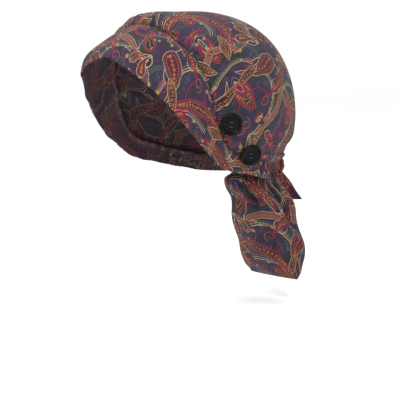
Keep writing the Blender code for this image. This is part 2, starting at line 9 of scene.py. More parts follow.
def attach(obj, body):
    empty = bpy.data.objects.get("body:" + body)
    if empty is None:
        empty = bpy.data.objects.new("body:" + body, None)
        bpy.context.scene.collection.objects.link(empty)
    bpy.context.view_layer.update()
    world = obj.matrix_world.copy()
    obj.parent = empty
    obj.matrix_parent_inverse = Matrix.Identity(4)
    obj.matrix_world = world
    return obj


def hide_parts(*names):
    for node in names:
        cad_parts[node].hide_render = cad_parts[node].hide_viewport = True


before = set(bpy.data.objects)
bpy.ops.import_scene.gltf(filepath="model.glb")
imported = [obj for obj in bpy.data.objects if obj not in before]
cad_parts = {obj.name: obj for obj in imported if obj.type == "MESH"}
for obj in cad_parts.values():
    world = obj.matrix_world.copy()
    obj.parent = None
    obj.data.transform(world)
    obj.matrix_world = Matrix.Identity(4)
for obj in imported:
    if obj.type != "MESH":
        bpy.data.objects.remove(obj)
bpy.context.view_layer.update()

up = np.array([0.0, 0.0, 1.0])

# The form that the cloth lies on, in metres from the middle of the head
head = {"halfWidth": 0.089, "front": 0.100, "back": 0.122, "above": 0.0938, "below": 0.103, "roundness": 2.28}
cloth = {"wall": 0.0015, "gap": 0.0003, "swell": 0.006}
seam = {"dip": 0.0032, "puff": 0.0044, "puffReach": 0.012, "gather": 0.0026, "gatherReach": 0.030,
        "roll": 0.0012, "rollReach": 0.0022}
tie = {"height": 0.011, "thick": 0.003, "ruche": 0.0008, "radius": 0.022, "back": 0.0915, "drop": 0.064}
cinch = np.array([0.0, tie["back"], -tie["drop"]])
mouthRise = tie["height"] / 2 + 0.0025


# Small helpers for curves, angles and directions

def ease(value):
    share = np.clip(value, 0.0, 1.0)
    return share * share * (3.0 - 2.0 * share)


def size(points):
    return np.linalg.norm(points, axis=-1, keepdims=True)


def direction(turn, rise):
    turn, rise = np.radians(turn), np.radians(rise)
    return np.stack([np.sin(turn) * np.cos(rise), -np.cos(turn) * np.cos(rise), np.sin(rise)], -1)


def anglesOf(point):
    turn = math.degrees(math.atan2(point[0], -point[1]))
    return turn, math.degrees(math.atan2(point[2], math.hypot(point[0], point[1])))


def roundCinch(turn):
    turn = np.radians(turn)
    return np.stack([np.sin(turn), np.cos(turn), np.zeros_like(turn)], -1)


def smooth(knots, values, at):
    knots, values = np.asarray(knots, float), np.asarray(values, float)
    slopes = np.gradient(values, knots)
    index = np.clip(np.searchsorted(knots, at, side="right") - 1, 0, len(knots) - 2)
    span = knots[index + 1] - knots[index]
    share = (at - knots[index]) / span
    back = 1.0 - share
    ends = values[index] * (1.0 + 2.0 * share) * back ** 2 + values[index
                                                                    + 1] * (3.0 - 2.0 * share) * share ** 2
    return ends + (slopes[index] * share * back ** 2 - slopes[index + 1] * back * share ** 2) * span


def headRadius(ways):
    depth = np.where(ways[..., 1] < 0.0, head["front"], head["back"])
    height = np.where(ways[..., 2] > 0.0, head["above"], head["below"])
    total = np.abs(ways[..., 0] / head["halfWidth"]) ** head["roundness"]
    total = total + np.abs(ways[..., 1] / depth) ** head["roundness"]
    total = total + np.abs(ways[..., 2] / height) ** head["roundness"]
    return total ** (-1.0 / head["roundness"])


# Soft swells of the cloth: turn, rise, spread in degrees, share of the swell height
swellRows = ((33, 27, 10, 0.80), (-33, 27, 10, 0.80), (20, 47, 11, -0.55), (-20, 47, 11, -0.55),
             (0, 88, 15, -0.20),
             (180, 50, 28, 0.40), (150, 18, 15, -0.25), (-150, 18, 15, -0.25), (142, -12, 15, 0.30),
             (-142, -12, 15, 0.30))


def swells(ways):
    total = np.zeros(ways.shape[:-1])
    for turn, rise, spread, height in swellRows:
        apart = np.degrees(np.arccos(np.clip(ways @ direction(turn, rise), -1.0, 1.0)))
        total = total + height * cloth["swell"] * np.exp(-((apart / spread) ** 2))
    return total


def ripple(first, second, seed, waves):
    # smooth unrepeating ripple of two coordinates, about -1 to 1
    random = np.random.default_rng(seed)
    total = np.zeros(np.broadcast(first, second).shape)
    for wave in range(waves):
        angle = random.uniform(0, 2 * math.pi)
        pitch = random.uniform(0.6, 1.7)
        total = total + np.sin(pitch * (first * math.cos(angle) + second * math.sin(angle))
                               + random.uniform(0, 6.28))
    return total / math.sqrt(waves)


# Front band
band = {"width": 0.054, "endWidth": 0.013, "endTurn": 98.0, "columns": 640, "rows": 44,
        "blendFrom": 0.80, "blendOver": 0.20, "freeOver": 0.15, "rimRipple": 0.0007, "hem": 0.0065,
        "hemStep": 0.00035, "hemSpread": 0.0009, "pucker": 0.0007, "puckerReach": 0.007, "wave": 0.0006,
        "ruche": 0.0023, "ruchePitch": 0.0165, "rucheFrom": 0.68, "rucheOver": 0.10, "rucheEnd": 0.06,
        "rimCalm": 0.65}
# along, rim turn, rim rise, gain of turn to the seam, share of width, dip, puff
bandRows = ((0.00, 0.0, 30.4, 0.0, 0.94, 1.00, 1.00), (0.10, 20.0, 24.8, 9.0, 1.04, 1.00, 1.00),
            (0.22, 37.7, 14.2, 14.3, 0.94, 0.70, 0.80), (0.34, 51.5, 1.2, 14.9, 0.92, 0.50, 0.70),
            (0.46, 65.0, -15.6, 9.5, 0.85, 0.50, 0.70), (0.54, 72.8, -24.2, 6.4, 0.58, 0.50, 0.70),
            (0.62, 83.7, -33.7, 3.3, 0.39, 0.50, 0.70), (0.74, 104.0, -38.6, 3.0, 0.31, 0.40, 0.60),
            (0.87, 132.0, -39.0, 1.0, 0.25, 0.20, 0.30))


def bandEnd(across):
    reach = tie["radius"] + cloth["gap"] + tie["thick"] + tie["ruche"] + cloth["gap"] + cloth["wall"]
    side = cinch + reach * roundCinch(band["endTurn"])
    return side + up * ((across - 0.5) * band["endWidth"])


def bandColumn(place, at):
    rimTurn, rimRise = anglesOf(bandEnd(0.0))
    seamTurn, seamRise = anglesOf(bandEnd(1.0))
    width = math.radians(seamRise - rimRise) * head["above"] / band["width"]
    rows = bandRows + ((1.0, rimTurn, rimRise, seamTurn - rimTurn, width, 0.0, 0.0),)
    mirror = -1.0 if place in (1, 3) else 1.0
    knots = [-rows[1][0]] + [row[0] for row in rows]
    return smooth(knots, [mirror * rows[1][place]] + [row[place] for row in rows], np.abs(at))


def bandDirection(along, across):
    turn = bandColumn(1, along) + across * bandColumn(3, along)
    rise = bandColumn(2, along) + across * bandColumn(4, along) * math.degrees(band["width"] / head["above"])
    return direction(np.sign(along) * turn, rise)


def bandRadius(ways, along, across):
    plain = headRadius(ways) + swells(ways) - bandColumn(5, along) * seam["dip"] * across ** 4
    end = size(bandEnd(across[..., None]))[..., 0]
    share = ease((np.abs(along) - band["blendFrom"]) / band["blendOver"])
    return plain * (1.0 - share) + end * share


def bandSurface():
    along, across = np.meshgrid(np.linspace(-1.0, 1.0, band["columns"] + 1),
                                np.linspace(0.0, 1.0, band["rows"] + 1))
    ways = bandDirection(along, across)
    radius = bandRadius(ways, along, across)
    free = ease((1.0 - np.abs(along)) / band["freeOver"])
    walked = bandColumn(4, along) * band["width"] * across
    left = bandColumn(4, along) * band["width"] * (1.0 - across)
    rim = np.sin(38.0 * along + 1.3) + np.sin(61.0 * along + 0.4) + 0.7 * np.sin(97.0 * along)
    radius = radius + free * band["rimRipple"] * rim * (1.0 - across) ** 2 * 0.5
    radius = radius - free * band["hemStep"] * np.exp(-(((walked - band["hem"]) / band["hemSpread"]) ** 2))
    radius = radius - seam["roll"] * np.exp(-left / seam["rollReach"]) * free
    pucker = np.maximum(ripple(along * 190.0, across * 2.0, 5, 5), 0.0)
    radius = radius - free * band["pucker"] * pucker * np.exp(-left / band["puckerReach"])
    radius = radius + free * band["wave"] * ripple(along * 17.0, across * 3.0, 8, 4)
    # the low end is drawn up on its tie
    drawn = ease((np.abs(along) - band["rucheFrom"]) / band["rucheOver"])
    drawn = drawn * ease((1.0 - np.abs(along)) / band["rucheEnd"])
    phase = 2 * math.pi * along / band["ruchePitch"] + 1.8 * np.sin(21.0 * along)
    phase = phase + 0.9 * np.sin(3.0 * across + 8.0 * along)
    fold = 0.6 * np.sin(phase) + 0.4 * np.sin(1.73 * phase + 2.2 * across)
    calmRim = 1.0 - band["rimCalm"] * (1.0 - across) ** 3
    ruching = drawn * band["ruche"] * (fold - 0.5) * (0.55 + 0.45 * np.sin(math.pi * across)) * calmRim
    radius = radius + ruching
    return ways * radius[..., None]


# Crown
crown = {"columns": 360, "rows": 122, "lineLift": 0.15, "liftShare": 0.22, "funnel": 0.038,
         "funnelShare": 0.85,
         "flare": 0.010, "climb": 0.80, "sideClimb": 0.45, "flute": 0.0026, "flutes": 9, "fluteReach": 1.6,
         "finePleat": 0.0008, "fineReach": 1.9, "seamPleat": 0.0017, "seamPleatReach": 0.011,
         "seamPleatStart": 0.0015, "liftFrom": 0.25, "liftOver": 0.35, "wave": 0.0009, "waveFrom": 0.03,
         "sideFrom": 0.45, "sideOver": 0.55, "mouthRows": 9}
# along, spread, share of the gather depth
gatherRows = ((0.03, 0.010, 0.7), (0.13, 0.012, 0.8), (0.24, 0.010, 0.6), (0.31, 0.011, 1.0),
              (0.365, 0.010, 1.0),
              (0.42, 0.012, 0.8), (0.50, 0.012, 0.9), (0.59, 0.013, 0.8), (0.68, 0.014, 0.7),
              (-0.06, 0.011, 0.8),
              (-0.17, 0.012, 0.7), (-0.27, 0.010, 0.8), (-0.34, 0.012, 0.9), (-0.40, 0.010, 0.7),
              (-0.47, 0.012, 0.9),
              (-0.56, 0.013, 0.8), (-0.66, 0.014, 0.8))


def between(first, second, share, lift):
    angle = np.arccos(np.clip(np.sum(first * second, -1), -1.0, 1.0))
    start = np.sin((1.0 - share) * angle) / np.sin(angle)
    end = np.sin(share * angle) / np.sin(angle)
    height = np.minimum(lift, crown["liftShare"] * angle) * np.sin(np.pi * share)
    ways = start[..., None] * first + end[..., None] * second + up * height[..., None]
    return ways / size(ways)


def flutes(turn):
    angle = np.radians(turn)
    return 0.5 - 0.5 * np.cos(crown["flutes"] * angle + 0.9 * np.sin(2.0 * angle) + 0.4)


def finePleats(turn):
    angle = np.radians(turn)
    return np.sin(31.0 * angle + 1.7 * np.sin(3.0 * angle)) * (0.75 + 0.25 * np.sin(5.0 * angle + 1.0))


def seamGathers(along):
    total = np.zeros_like(along)
    for place, spread, depth in gatherRows:
        total = total + depth * np.exp(-(((along - place) / spread) ** 2))
    return total * seam["gather"]


def crownSurface():
    along, down = np.meshgrid(np.linspace(-1.0, 1.0, crown["columns"] + 1),
                              np.linspace(0.0, 1.0, crown["rows"] + 1) ** 1.15)
    turn = along * band["endTurn"]
    outward = roundCinch(turn)
    mouth = cinch + outward * tie["radius"] + up * mouthRise
    rimWay = bandDirection(along, np.ones_like(along))
    edge = bandRadius(rimWay, along, np.ones_like(along))
    target = mouth / size(mouth)
    whole = edge * np.arccos(np.clip(np.sum(rimWay * target, -1), -1.0, 1.0))
    start = 1.5 * cloth["gap"] / whole
    lift = crown["lineLift"] * ease((np.abs(along) - crown["liftFrom"]) / crown["liftOver"])
    ways = between(rimWay, target, start + (1.0 - start) * down, lift)
    walked = down * whole
    left = whole - walked
    riseAgain = np.exp(-walked / (0.4 * seam["puffReach"]))
    puff = (walked / seam["puffReach"]) * np.exp(1.0 - walked / seam["puffReach"])
    offset = bandColumn(6, along) * seam["puff"] * puff - bandColumn(5, along) * seam["dip"] * riseAgain
    gather = np.exp(-walked / seam["gatherReach"]) * (1.0 - riseAgain)
    offset = offset - seamGathers(along) * gather
    free = ease((1.0 - np.abs(along)) / band["freeOver"])
    pleat = np.maximum(ripple(along * 170.0, walked * 60.0, 11, 6), -0.4)
    started = 1.0 - np.exp(-walked / crown["seamPleatStart"])
    offset = offset - free * crown["seamPleat"] * pleat * np.exp(-walked / crown["seamPleatReach"]) * started
    offset = offset - free * seam["roll"] * np.exp(-walked / seam["rollReach"])
    offset = offset + crown["wave"] * ripple(along * 9.0, walked * 42.0, 21,
                                             5) * ease(walked / crown["waveFrom"])
    funnel = np.minimum(crown["funnel"], crown["funnelShare"] * whole)
    share = ease(1.0 - left / funnel)
    creases = crown["flute"] * flutes(turn) * ease(1.0 - left / (crown["fluteReach"] * funnel))
    nearTie = ease(1.0 - left / (crown["fineReach"] * funnel))
    creases = creases + crown["finePleat"] * finePleats(turn) * nearTie ** 1.5
    atSide = ease((np.abs(along) - crown["sideFrom"]) / crown["sideOver"])
    climb = crown["climb"] + (crown["sideClimb"] - crown["climb"]) * atSide
    plain = headRadius(ways) + swells(ways) + offset * (1.0 - share) - creases
    offEdge = edge - headRadius(rimWay) - swells(rimWay) + bandColumn(5, along) * seam["dip"]
    plain = plain + offEdge * (1.0 - down) ** 2
    lies = ways * plain[..., None]
    flare = crown["flare"] * (left / crown["funnel"]) ** 2 - creases
    hangs = mouth + outward * flare[..., None] + up * (climb * left)[..., None]
    surface = lies * (1.0 - share[..., None]) + hangs * share[..., None]
    rows = [surface]
    for part in np.linspace(1.0, 0.0, crown["mouthRows"])[1:]:
        level = cloth["gap"] / 2 + part * (mouthRise - cloth["gap"] / 2)
        inset = crown["flute"] * flutes(turn[:1]) + crown["finePleat"] * finePleats(turn[:1])
        rows.append(cinch + outward[:1] * (tie["radius"] - inset)[..., None] + up * level)
    return np.concatenate(rows)


# Hair pouch below the tie
pouch = {"length": 0.116, "halfWidth": 0.045, "halfDepth": 0.028, "slant": 0.028, "fold": 0.008,
         "columns": 280, "rows": 150, "girth": 0.225, "wave": 0.0008, "mostFold": 0.4}
# drop, back, half width, half depth as shares of the named sizes
pouchRows = ((0.10, -0.04, 0.60, 0.93), (0.17, 0.04, 0.73, 1.00), (0.29, 0.37, 0.87, 0.95),
             (0.47, 0.49, 1.00, 0.96),
             (0.67, 0.80, 1.00, 0.90), (0.86, 0.95, 0.97, 0.72), (0.96, 1.00, 0.92, 0.40),
             (1.00, 1.00, 0.87, 0.12))
# turn, drift, spread, top, end, share of the fold depth
foldRows = ((157, -6, 8, 0.05, 0.42, 1.15), (110, -34, 7, 0.08, 0.66, 0.80), (60, 10, 9, 0.10, 0.70, 0.70),
            (15, 6, 11, 0.10, 0.80, 0.55), (-32, -8, 12, 0.08, 0.75, 0.60), (-78, 12, 11, 0.12, 0.66, 0.50),
            (-122, 8, 12, 0.10, 0.72, 0.60), (-165, 4, 10, 0.12, 0.60, 0.55),
            (136, 6, 7, 0.40, 0.92, 0.60), (84, -20, 5, 0.06, 0.40, 0.55))


def pouchColumn(place, drop):
    width, depth = tie["radius"] / pouch["halfWidth"], tie["radius"] / pouch["halfDepth"]
    neck = mouthRise / pouch["length"]
    rows = ((0.0, 0.0, width, depth), (neck, 0.0, width, depth)) + pouchRows
    return smooth([row[0] for row in rows], [row[place] for row in rows], drop)


def pouchFolds(turn, drop):
    total = np.zeros_like(turn)
    for centre, drift, spread, top, end, depth in foldRows:
        apart = (turn - centre - drift * (drop - top) / (end - top) + 180.0) % 360.0 - 180.0
        along = ease(1.4 * (1.0 - np.abs(drop - (top + end) / 2) / ((end - top) / 2)))
        total = total + depth * along * np.exp(-((apart / spread) ** 2))
    return total * pouch["fold"]


def pouchSurface():
    neck = mouthRise / pouch["length"]
    drops = np.linspace(cloth["gap"] / 2 / pouch["length"], 1.0, pouch["rows"] + 1)
    turns = np.arange(pouch["columns"]) * 360.0 / pouch["columns"]
    turn, drop = np.meshgrid(turns, drops)
    outward = roundCinch(turn)
    halfWidth = pouchColumn(2, drop) * pouch["halfWidth"]
    halfDepth = pouchColumn(3, drop) * pouch["halfDepth"]
    inward = crown["flute"] * flutes(turn) * ease(1.0 - (drop - neck) / 0.3) + pouchFolds(turn, drop)
    inward = inward + crown["finePleat"] * finePleats(turn) * ease(1.0 - (drop - neck) / 0.34) ** 1.3 * 1.6
    angle = np.radians(turn)
    soft = np.sin(4.0 * angle + 9.0 * drop) + np.sin(7.0 * angle - 6.0 * drop + 1.0)
    soft = soft + 0.7 * np.sin(3.0 * angle + 17.0 * drop + 2.0)
    inward = inward + pouch["wave"] * soft * ease((drop - neck) / 0.2) * ease((1.0 - drop) / 0.1)
    inward = np.minimum(inward, pouch["mostFold"] * halfDepth)
    middle = np.zeros_like(outward)
    middle[..., 1] = pouchColumn(1, drop) * pouch["slant"]
    middle[..., 2] = -drop * pouch["length"]
    across = np.stack([halfWidth, halfDepth, np.zeros_like(drop)], -1)
    return cinch + middle + outward * across - outward * inward[..., None], drop


# Meshes from grids of points

def lengthsAlong(points):
    return np.concatenate([[0.0], np.cumsum(size(np.diff(points, axis=0))[:, 0])])


def lengthsDown(grid):
    # how far each point lies from the first row, walked down its own column
    steps = size(np.diff(grid, axis=0))[..., 0]
    return np.concatenate([np.zeros((1, grid.shape[1])), np.cumsum(steps, axis=0)])


def gridNormals(grid, closed):
    across = np.roll(grid, -1, 1) - np.roll(grid, 1, 1) if closed else np.gradient(grid, axis=1)
    normals = np.cross(across, np.gradient(grid, axis=0))
    return normals / np.maximum(size(normals), 1e-12)


def addObject(name, data):
    made = bpy.data.objects.new(name, data)
    bpy.context.scene.collection.objects.link(made)
    return made


def addMesh(name, vertices, faces, coordinates=None):
    mesh = bpy.data.meshes.new(name)
    mesh.from_pydata(np.asarray(vertices, float).tolist(), [], [list(map(int, face)) for face in faces])
    if coordinates is not None:
        layer = mesh.uv_layers.new(name="print")
        layer.data.foreach_set("uv", np.asarray(coordinates, np.float32).ravel())
    mesh.shade_smooth()
    return addObject(name, mesh)


def quads(rows, columns, closed):
    row, column = np.meshgrid(np.arange(rows - 1), np.arange(columns if closed else columns - 1),
                              indexing="ij")
    after = (column + 1) % columns
    faces = np.stack([row * columns + column, row * columns + after,
                      (row + 1) * columns + after, (row + 1) * columns + column], -1)
    return faces.reshape(-1, 4)


# the rounded edge of a cloth wall: degrees round it, and how far it stands out as a share of the wall
sheetEdge = {"angles": (35, 65, 90, 115, 145), "bulge": 0.35}


def clothSheet(name, grid, flat, wall=cloth["wall"]):
    # a wall with rounded edges: the loop runs down the outside, round the edge and back up the inside
    normals = gridNormals(grid, False)
    rows, columns = grid.shape[:2]
    bends = len(sheetEdge["angles"])
    loops, flats = [grid], [flat]
    for edge, sign in ((-1, 1.0), (0, -1.0)):
        beyond = (grid[edge] - grid[-2 if edge == -1 else 1])
        beyond = beyond / np.maximum(size(beyond), 1e-12) * wall * sheetEdge["bulge"]
        arc = [grid[edge] - normals[edge] * wall * (0.5 - 0.5 * math.cos(t)) + beyond * math.sin(t)
               for t in np.radians(sheetEdge["angles"])]
        arc = arc if edge == -1 else arc[::-1]
        if edge == -1:
            loops += [np.array(arc), (grid - normals * wall)[::-1]]
            flats += [np.repeat(flat[-1:], bends, 0), flat[::-1]]
        else:
            loops += [np.array(arc)]
            flats += [np.repeat(flat[:1], bends, 0)]
    ring = np.concatenate(loops)
    flatRing = np.concatenate(flats)
    count = len(ring)
    faces = quads(count + 1, columns, False) % (count * columns)
    coordinates = flatRing.reshape(-1, 2)[faces]
    faces = faces.tolist()
    coordinates = [tuple(pair) for face in coordinates for pair in face]
    for column, turned in ((0, False), (columns - 1, True)):
        for row in range(rows - 1):
            inner = rows + bends + rows - 1 - row
            innerAfter = inner - 1
            face = [row * columns + column, (row + 1) * columns + column,
                    innerAfter * columns + column, inner * columns + column]
            faces.append(face[::-1] if turned else face)
            coordinates += [tuple(flat[row, column])] * 4
    made = addMesh(name, ring.reshape(-1, 3), faces, coordinates)
    closeAndTurn(made)
    inside = np.zeros(len(made.data.polygons), np.int32)
    inside[(rows + bends) * (columns - 1):(2 * rows + bends - 1) * (columns - 1)] = 1
    return finishSides(made, inside)


def finishSides(made, inside):
    # slot 0 is the printed face, slot 1 the wrong side
    made["sides"] = 2
    for slot in range(made["sides"]):
        made.data.materials.append(None)
    made.data.polygons.foreach_set("material_index", inside)
    return made


def closeAndTurn(made):
    work = bmesh.new()
    work.from_mesh(made.data)
    holes = [edge for edge in work.edges if edge.is_boundary]
    if holes:
        bmesh.ops.holes_fill(work, edges=holes)
    bmesh.ops.recalc_face_normals(work, faces=work.faces)
    work.to_mesh(made.data)
    work.free()
    made.data.shade_smooth()


def flatten(grid, fullness, steps):
    # lays a curved grid of cloth out flat, by pulling each thread towards its own length
    way = grid / size(grid)
    pole = np.array([0.0, 0.25, 0.97])
    east = np.array([1.0, 0.0, 0.0])
    north = np.cross(pole, east)
    apart = np.arccos(np.clip(way @ pole, -1, 1))
    flat = np.stack([way @ east, way @ north], -1)
    flat = flat / np.maximum(size(flat), 1e-9) * (apart * 0.095)[..., None]
    pairs = []
    for rowStep, columnStep in ((0, 1), (1, 0), (1, 1), (1, -1), (0, 2), (2, 0)):
        rows, columns = grid.shape[:2]
        a = (slice(0, rows - rowStep), slice(max(0, -columnStep), columns - max(0, columnStep)))
        b = (slice(rowStep, rows), slice(max(0, columnStep), columns + min(0, columnStep)))
        length = size(grid[a] - grid[b])
        if rowStep == 0:
            length = length * fullness[a][..., None]
        pairs.append((a, b, length))
    weight = np.zeros(grid.shape[:2] + (1,))
    for a, b, length in pairs:
        weight[a] += 1
        weight[b] += 1
    for step in range(steps):
        move = np.zeros_like(flat)
        for a, b, length in pairs:
            between = flat[b] - flat[a]
            now = np.maximum(size(between), 1e-9)
            push = between * (0.5 * (now - length) / now)
            move[a] += push
            move[b] -= push
        flat = flat + move / weight * 1.6
    return flat


def enlarge(values, rows, columns):
    # values of a coarse grid read off for a finer one
    r = np.linspace(0, values.shape[0] - 1, rows)
    c = np.linspace(0, values.shape[1] - 1, columns)
    r0, c0 = np.minimum(r.astype(int), values.shape[0] - 2), np.minimum(c.astype(int), values.shape[1] - 2)
    fr, fc = (r - r0)[:, None, None], (c - c0)[None, :, None]
    a, b = values[r0][:, c0], values[r0][:, c0 + 1]
    d, e = values[r0 + 1][:, c0], values[r0 + 1][:, c0 + 1]
    return (a * (1 - fc) + b * fc) * (1 - fr) + (d * (1 - fc) + e * fc) * fr


print("band")
bandGrid = bandSurface()
bandLengths = lengthsAlong(bandGrid[band["rows"] // 2])
bandLengths = bandLengths - bandLengths[len(bandLengths) // 2]
climbs = lengthsDown(bandGrid)
bandFlat = np.stack([np.broadcast_to(bandLengths, climbs.shape), climbs], -1)
frontBand = clothSheet("frontBand", bandGrid, bandFlat)

print("crown")
crownGrid = crownSurface()
coarse = crownGrid[::5, ::9]
rowShare = np.linspace(0, 1, coarse.shape[0])[:, None] * np.ones(coarse.shape[:2])
crownFlat = flatten(coarse, 1.0 + 0.9 * ease((rowShare - 0.6) / 0.4), 1500)
crownFlat = enlarge(crownFlat, crownGrid.shape[0], crownGrid.shape[1])
crownPiece = clothSheet("crownPiece", crownGrid, crownFlat)

# Seam allowance, turned in under the join of the band and the crown
allowance = {"reach": 0.0045, "wall": 0.0006, "under": 0.0004, "columns": 321, "rows": 11, "end": 0.997}


def alongEdge(grid, distance):
    # points at a distance down every column of a cloth grid, evened out to the strip's own columns
    walked = lengthsDown(grid)
    found = np.array([[np.interp(distance, walked[:, column], grid[:, column, axis]) for axis in range(3)]
                      for column in range(grid.shape[1])])
    at = np.linspace(-allowance["end"], allowance["end"], allowance["columns"])
    here = np.linspace(-1.0, 1.0, grid.shape[1])
    return np.stack([np.interp(at, here, found[:, axis]) for axis in range(3)], -1)


def allowanceSurface():
    rows = []
    for reach in np.linspace(-allowance["reach"], allowance["reach"], allowance["rows"]):
        rows.append(alongEdge(bandGrid[::-1], -reach) if reach < 0.0 else alongEdge(crownGrid, reach))
    grid = np.array(rows)
    return grid - grid / size(grid) * (cloth["wall"] + allowance["under"])


print("seam allowance")
allowanceGrid = allowanceSurface()
stripLengths = lengthsAlong(allowanceGrid[allowance["rows"] // 2])
stripAcross = np.linspace(0.0, 2 * allowance["reach"], allowance["rows"])
allowanceFlat = np.stack(np.meshgrid(stripLengths, stripAcross), -1)
seamAllowance = clothSheet("seamAllowance", allowanceGrid, allowanceFlat, allowance["wall"])

print("pouch")
pouchGrid, pouchDrop = pouchSurface()


def clothBag(name, grid, drop):
    rows, columns = grid.shape[:2]
    inner = grid - gridNormals(grid, True) * cloth["wall"]
    inner[0, :, 2] = grid[0, :, 2]
    inner[-1] = grid[-1] * 0.93 + grid[-1].mean(0) * 0.07
    inner[-1, :, 1] = grid[-1, :, 1] * 0.5 + grid[-1, :, 1].mean() * 0.5
    inner[-1, :, 2] = grid[-1, :, 2] + cloth["wall"]
    for row in range(-8, -1):
        inner[row, :, 2] = np.maximum(inner[row, :, 2], inner[-1, :, 2] + 0.0003 * (-1 - row))
    vertices = np.concatenate([grid.reshape(-1, 3), inner.reshape(-1, 3)])
    count = rows * columns
    outside = quads(rows, columns, True)
    inside = quads(rows, columns, True)[:, ::-1] + count
    after = (np.arange(columns) + 1) % columns
    here = np.arange(columns)
    rim = np.stack([after, here, count + here, count + after], -1)
    faces = np.concatenate([outside, inside, rim])
    index = faces % count
    column = index % columns
    wrapped = (column == 0) & np.any(column == columns - 1, axis=1, keepdims=True)
    u = (column + np.where(wrapped, columns, 0)) / columns * pouch["girth"]
    v = -drop[index // columns, 0] * pouch["length"]
    coordinates = np.stack([u, v], -1).reshape(-1, 2)
    made = addMesh(name, vertices, faces, coordinates)
    closeAndTurn(made)
    inside = np.zeros(len(made.data.polygons), np.int32)
    inside[len(outside):2 * len(outside)] = 1
    return finishSides(made, inside)


ponytailPouch = clothBag("ponytailPouch", pouchGrid, pouchDrop)


# Stitches: sizes of one, and how far the sewing lines lie from the edges
stitch = {"spacing": 0.0030, "length": 0.0021, "thick": 0.00036, "lean": 0.08, "seed": 4, "hemIn": 0.0065,
          "seamIn": 0.0030, "bottomIn": 0.006, "proud": 0.00010}
tieLines = []


# Tie: ruched wrap, knot and two free ends
tieLook = {"wrapColumns": 300, "wrapSides": 40, "ruchePleats": 23, "knot": (0.0182, 0.0180, 0.0080),
           "knotTurn": 12.0,
           "endLength": 0.040, "endWidth": 0.012, "endThick": 0.0018, "hem": 0.0016, "hemStep": 4,
           "square": 0.55, "girth": 0.24, "flush": 0.0017, "flushIn": 3.0, "flushOver": 12.0,
           "corner": 0.0030, "cornerIn": 4.0, "cornerSpread": 16.0}
# side, back, down as shares of the end's length, half width as a share of its width, twist in degrees
leftEnd = ((-0.008, -0.053, 0.175, 0.40, 62), (0.09, 0.11, 0.43, 0.47, 56), (0.17, 0.24, 0.67, 0.44, 52),
           (0.24, 0.37, 0.90, 0.50, 50))
rightEnd = ((-0.08, 0.03, 0.160, 0.28, 20), (-0.14, 0.15, 0.42, 0.34, 22), (-0.19, 0.25, 0.66, 0.45, 24),
            (-0.22, 0.36, 0.90, 0.50, 26))


def makeWrap():
    turn, side = np.meshgrid(np.arange(tieLook["wrapColumns"]) * 360.0 / tieLook["wrapColumns"],
                             np.arange(tieLook["wrapSides"]) * 360.0 / tieLook["wrapSides"])
    out, rise = np.cos(np.radians(side)), np.sin(np.radians(side))
    squareOut = np.sign(out) * np.abs(out) ** tieLook["square"]
    squareRise = np.sign(rise) * np.abs(rise) ** tieLook["square"]
    angle = np.radians(turn)
    lean = 0.9 * squareRise + 0.5 * np.sin(5 * angle)
    pleat = np.sin(tieLook["ruchePleats"] * angle + 1.6 * np.sin(4 * angle) + lean)
    second = np.sin(2.3 * tieLook["ruchePleats"] * angle + 2.0 * squareRise + 0.7)
    fromBack = np.abs((turn + 180.0) % 360.0 - 180.0)
    flush = tieLook["flush"] * ease((band["endTurn"] - tieLook["flushIn"] - fromBack) / tieLook["flushOver"])
    outside = np.where(out > 0, np.abs(squareOut), 0.0)
    ruche = (tie["ruche"] * (0.55 + 0.45 * pleat + 0.25 * second) + flush) * outside
    reach = tie["radius"] + cloth["gap"] + tie["thick"] / 2 + squareOut * tie["thick"] / 2 * 0.95 + ruche
    level = squareRise * tie["height"] / 2 * (0.97 + 0.03 * np.sin(6 * angle + 0.5))
    # the wrap stands higher at the band's two ends, where the crown leaves the band
    corner = np.exp(-((fromBack - band["endTurn"] + tieLook["cornerIn"]) / tieLook["cornerSpread"]) ** 2)
    level = level + tieLook["corner"] * corner * np.maximum(squareRise, 0.0)
    grid = cinch + roundCinch(turn) * reach[..., None] + up * level[..., None]
    count = grid.shape[0] * grid.shape[1]
    faces = quads(grid.shape[0] + 1, grid.shape[1], True) % count
    u = turn / 360.0 * tieLook["girth"]
    column = faces % grid.shape[1]
    wrapped = (column == 0) & np.any(column == grid.shape[1] - 1, axis=1, keepdims=True)
    u = u.ravel()[faces] + np.where(wrapped, tieLook["girth"], 0.0)
    flat = np.stack([u, side.ravel()[faces] / 360.0 * 0.03], -1)
    made = addMesh("tieWrap", grid.reshape(-1, 3), faces, flat.reshape(-1, 2))
    closeAndTurn(made)
    return made


def knotCentre():
    reach = tie["radius"] + 2 * cloth["gap"] + tie["thick"] + tie["ruche"] + tieLook["knot"][2] / 2
    return cinch + reach * roundCinch(tieLook["knotTurn"])


def makeKnot():
    # a flattened ball with the wraps of the strip pressed into it
    outward = roundCinch(tieLook["knotTurn"])
    beside = np.cross(up, outward)
    columns, rings = 96, 64
    fall, around = np.meshgrid(np.linspace(0.02, math.pi - 0.02, rings),
                               np.arange(columns) * 2 * math.pi / columns, indexing="ij")
    wide, deep, high = np.sin(fall) * np.cos(around), np.sin(fall) * np.sin(around), np.cos(fall)
    slant = high * 0.9 + 0.42 * wide
    wrap = np.abs(np.sin(4.2 * slant + 0.3)) ** 0.6
    small = np.sin(19.0 * slant + 3.0 * wide) * 0.014 + np.sin(31.0 * slant - 2.0 * wide + 1.0) * 0.008
    press = 0.90 + 0.09 * wrap + small
    width, height, depth = tieLook["knot"]
    grid = knotCentre() + (beside * (wide * width / 2)[..., None] + outward * (deep * depth / 2)[..., None]
                           + up * (high * height / 2)[..., None]) * press[..., None]
    faces = quads(rings, columns, True)
    flat = np.stack([around / 6.283 * 0.03, fall / 3.14 * 0.02], -1).reshape(-1, 2)[faces].reshape(-1, 2)
    made = addMesh("tieKnot", grid.reshape(-1, 3), faces, flat)
    closeAndTurn(made)
    return made


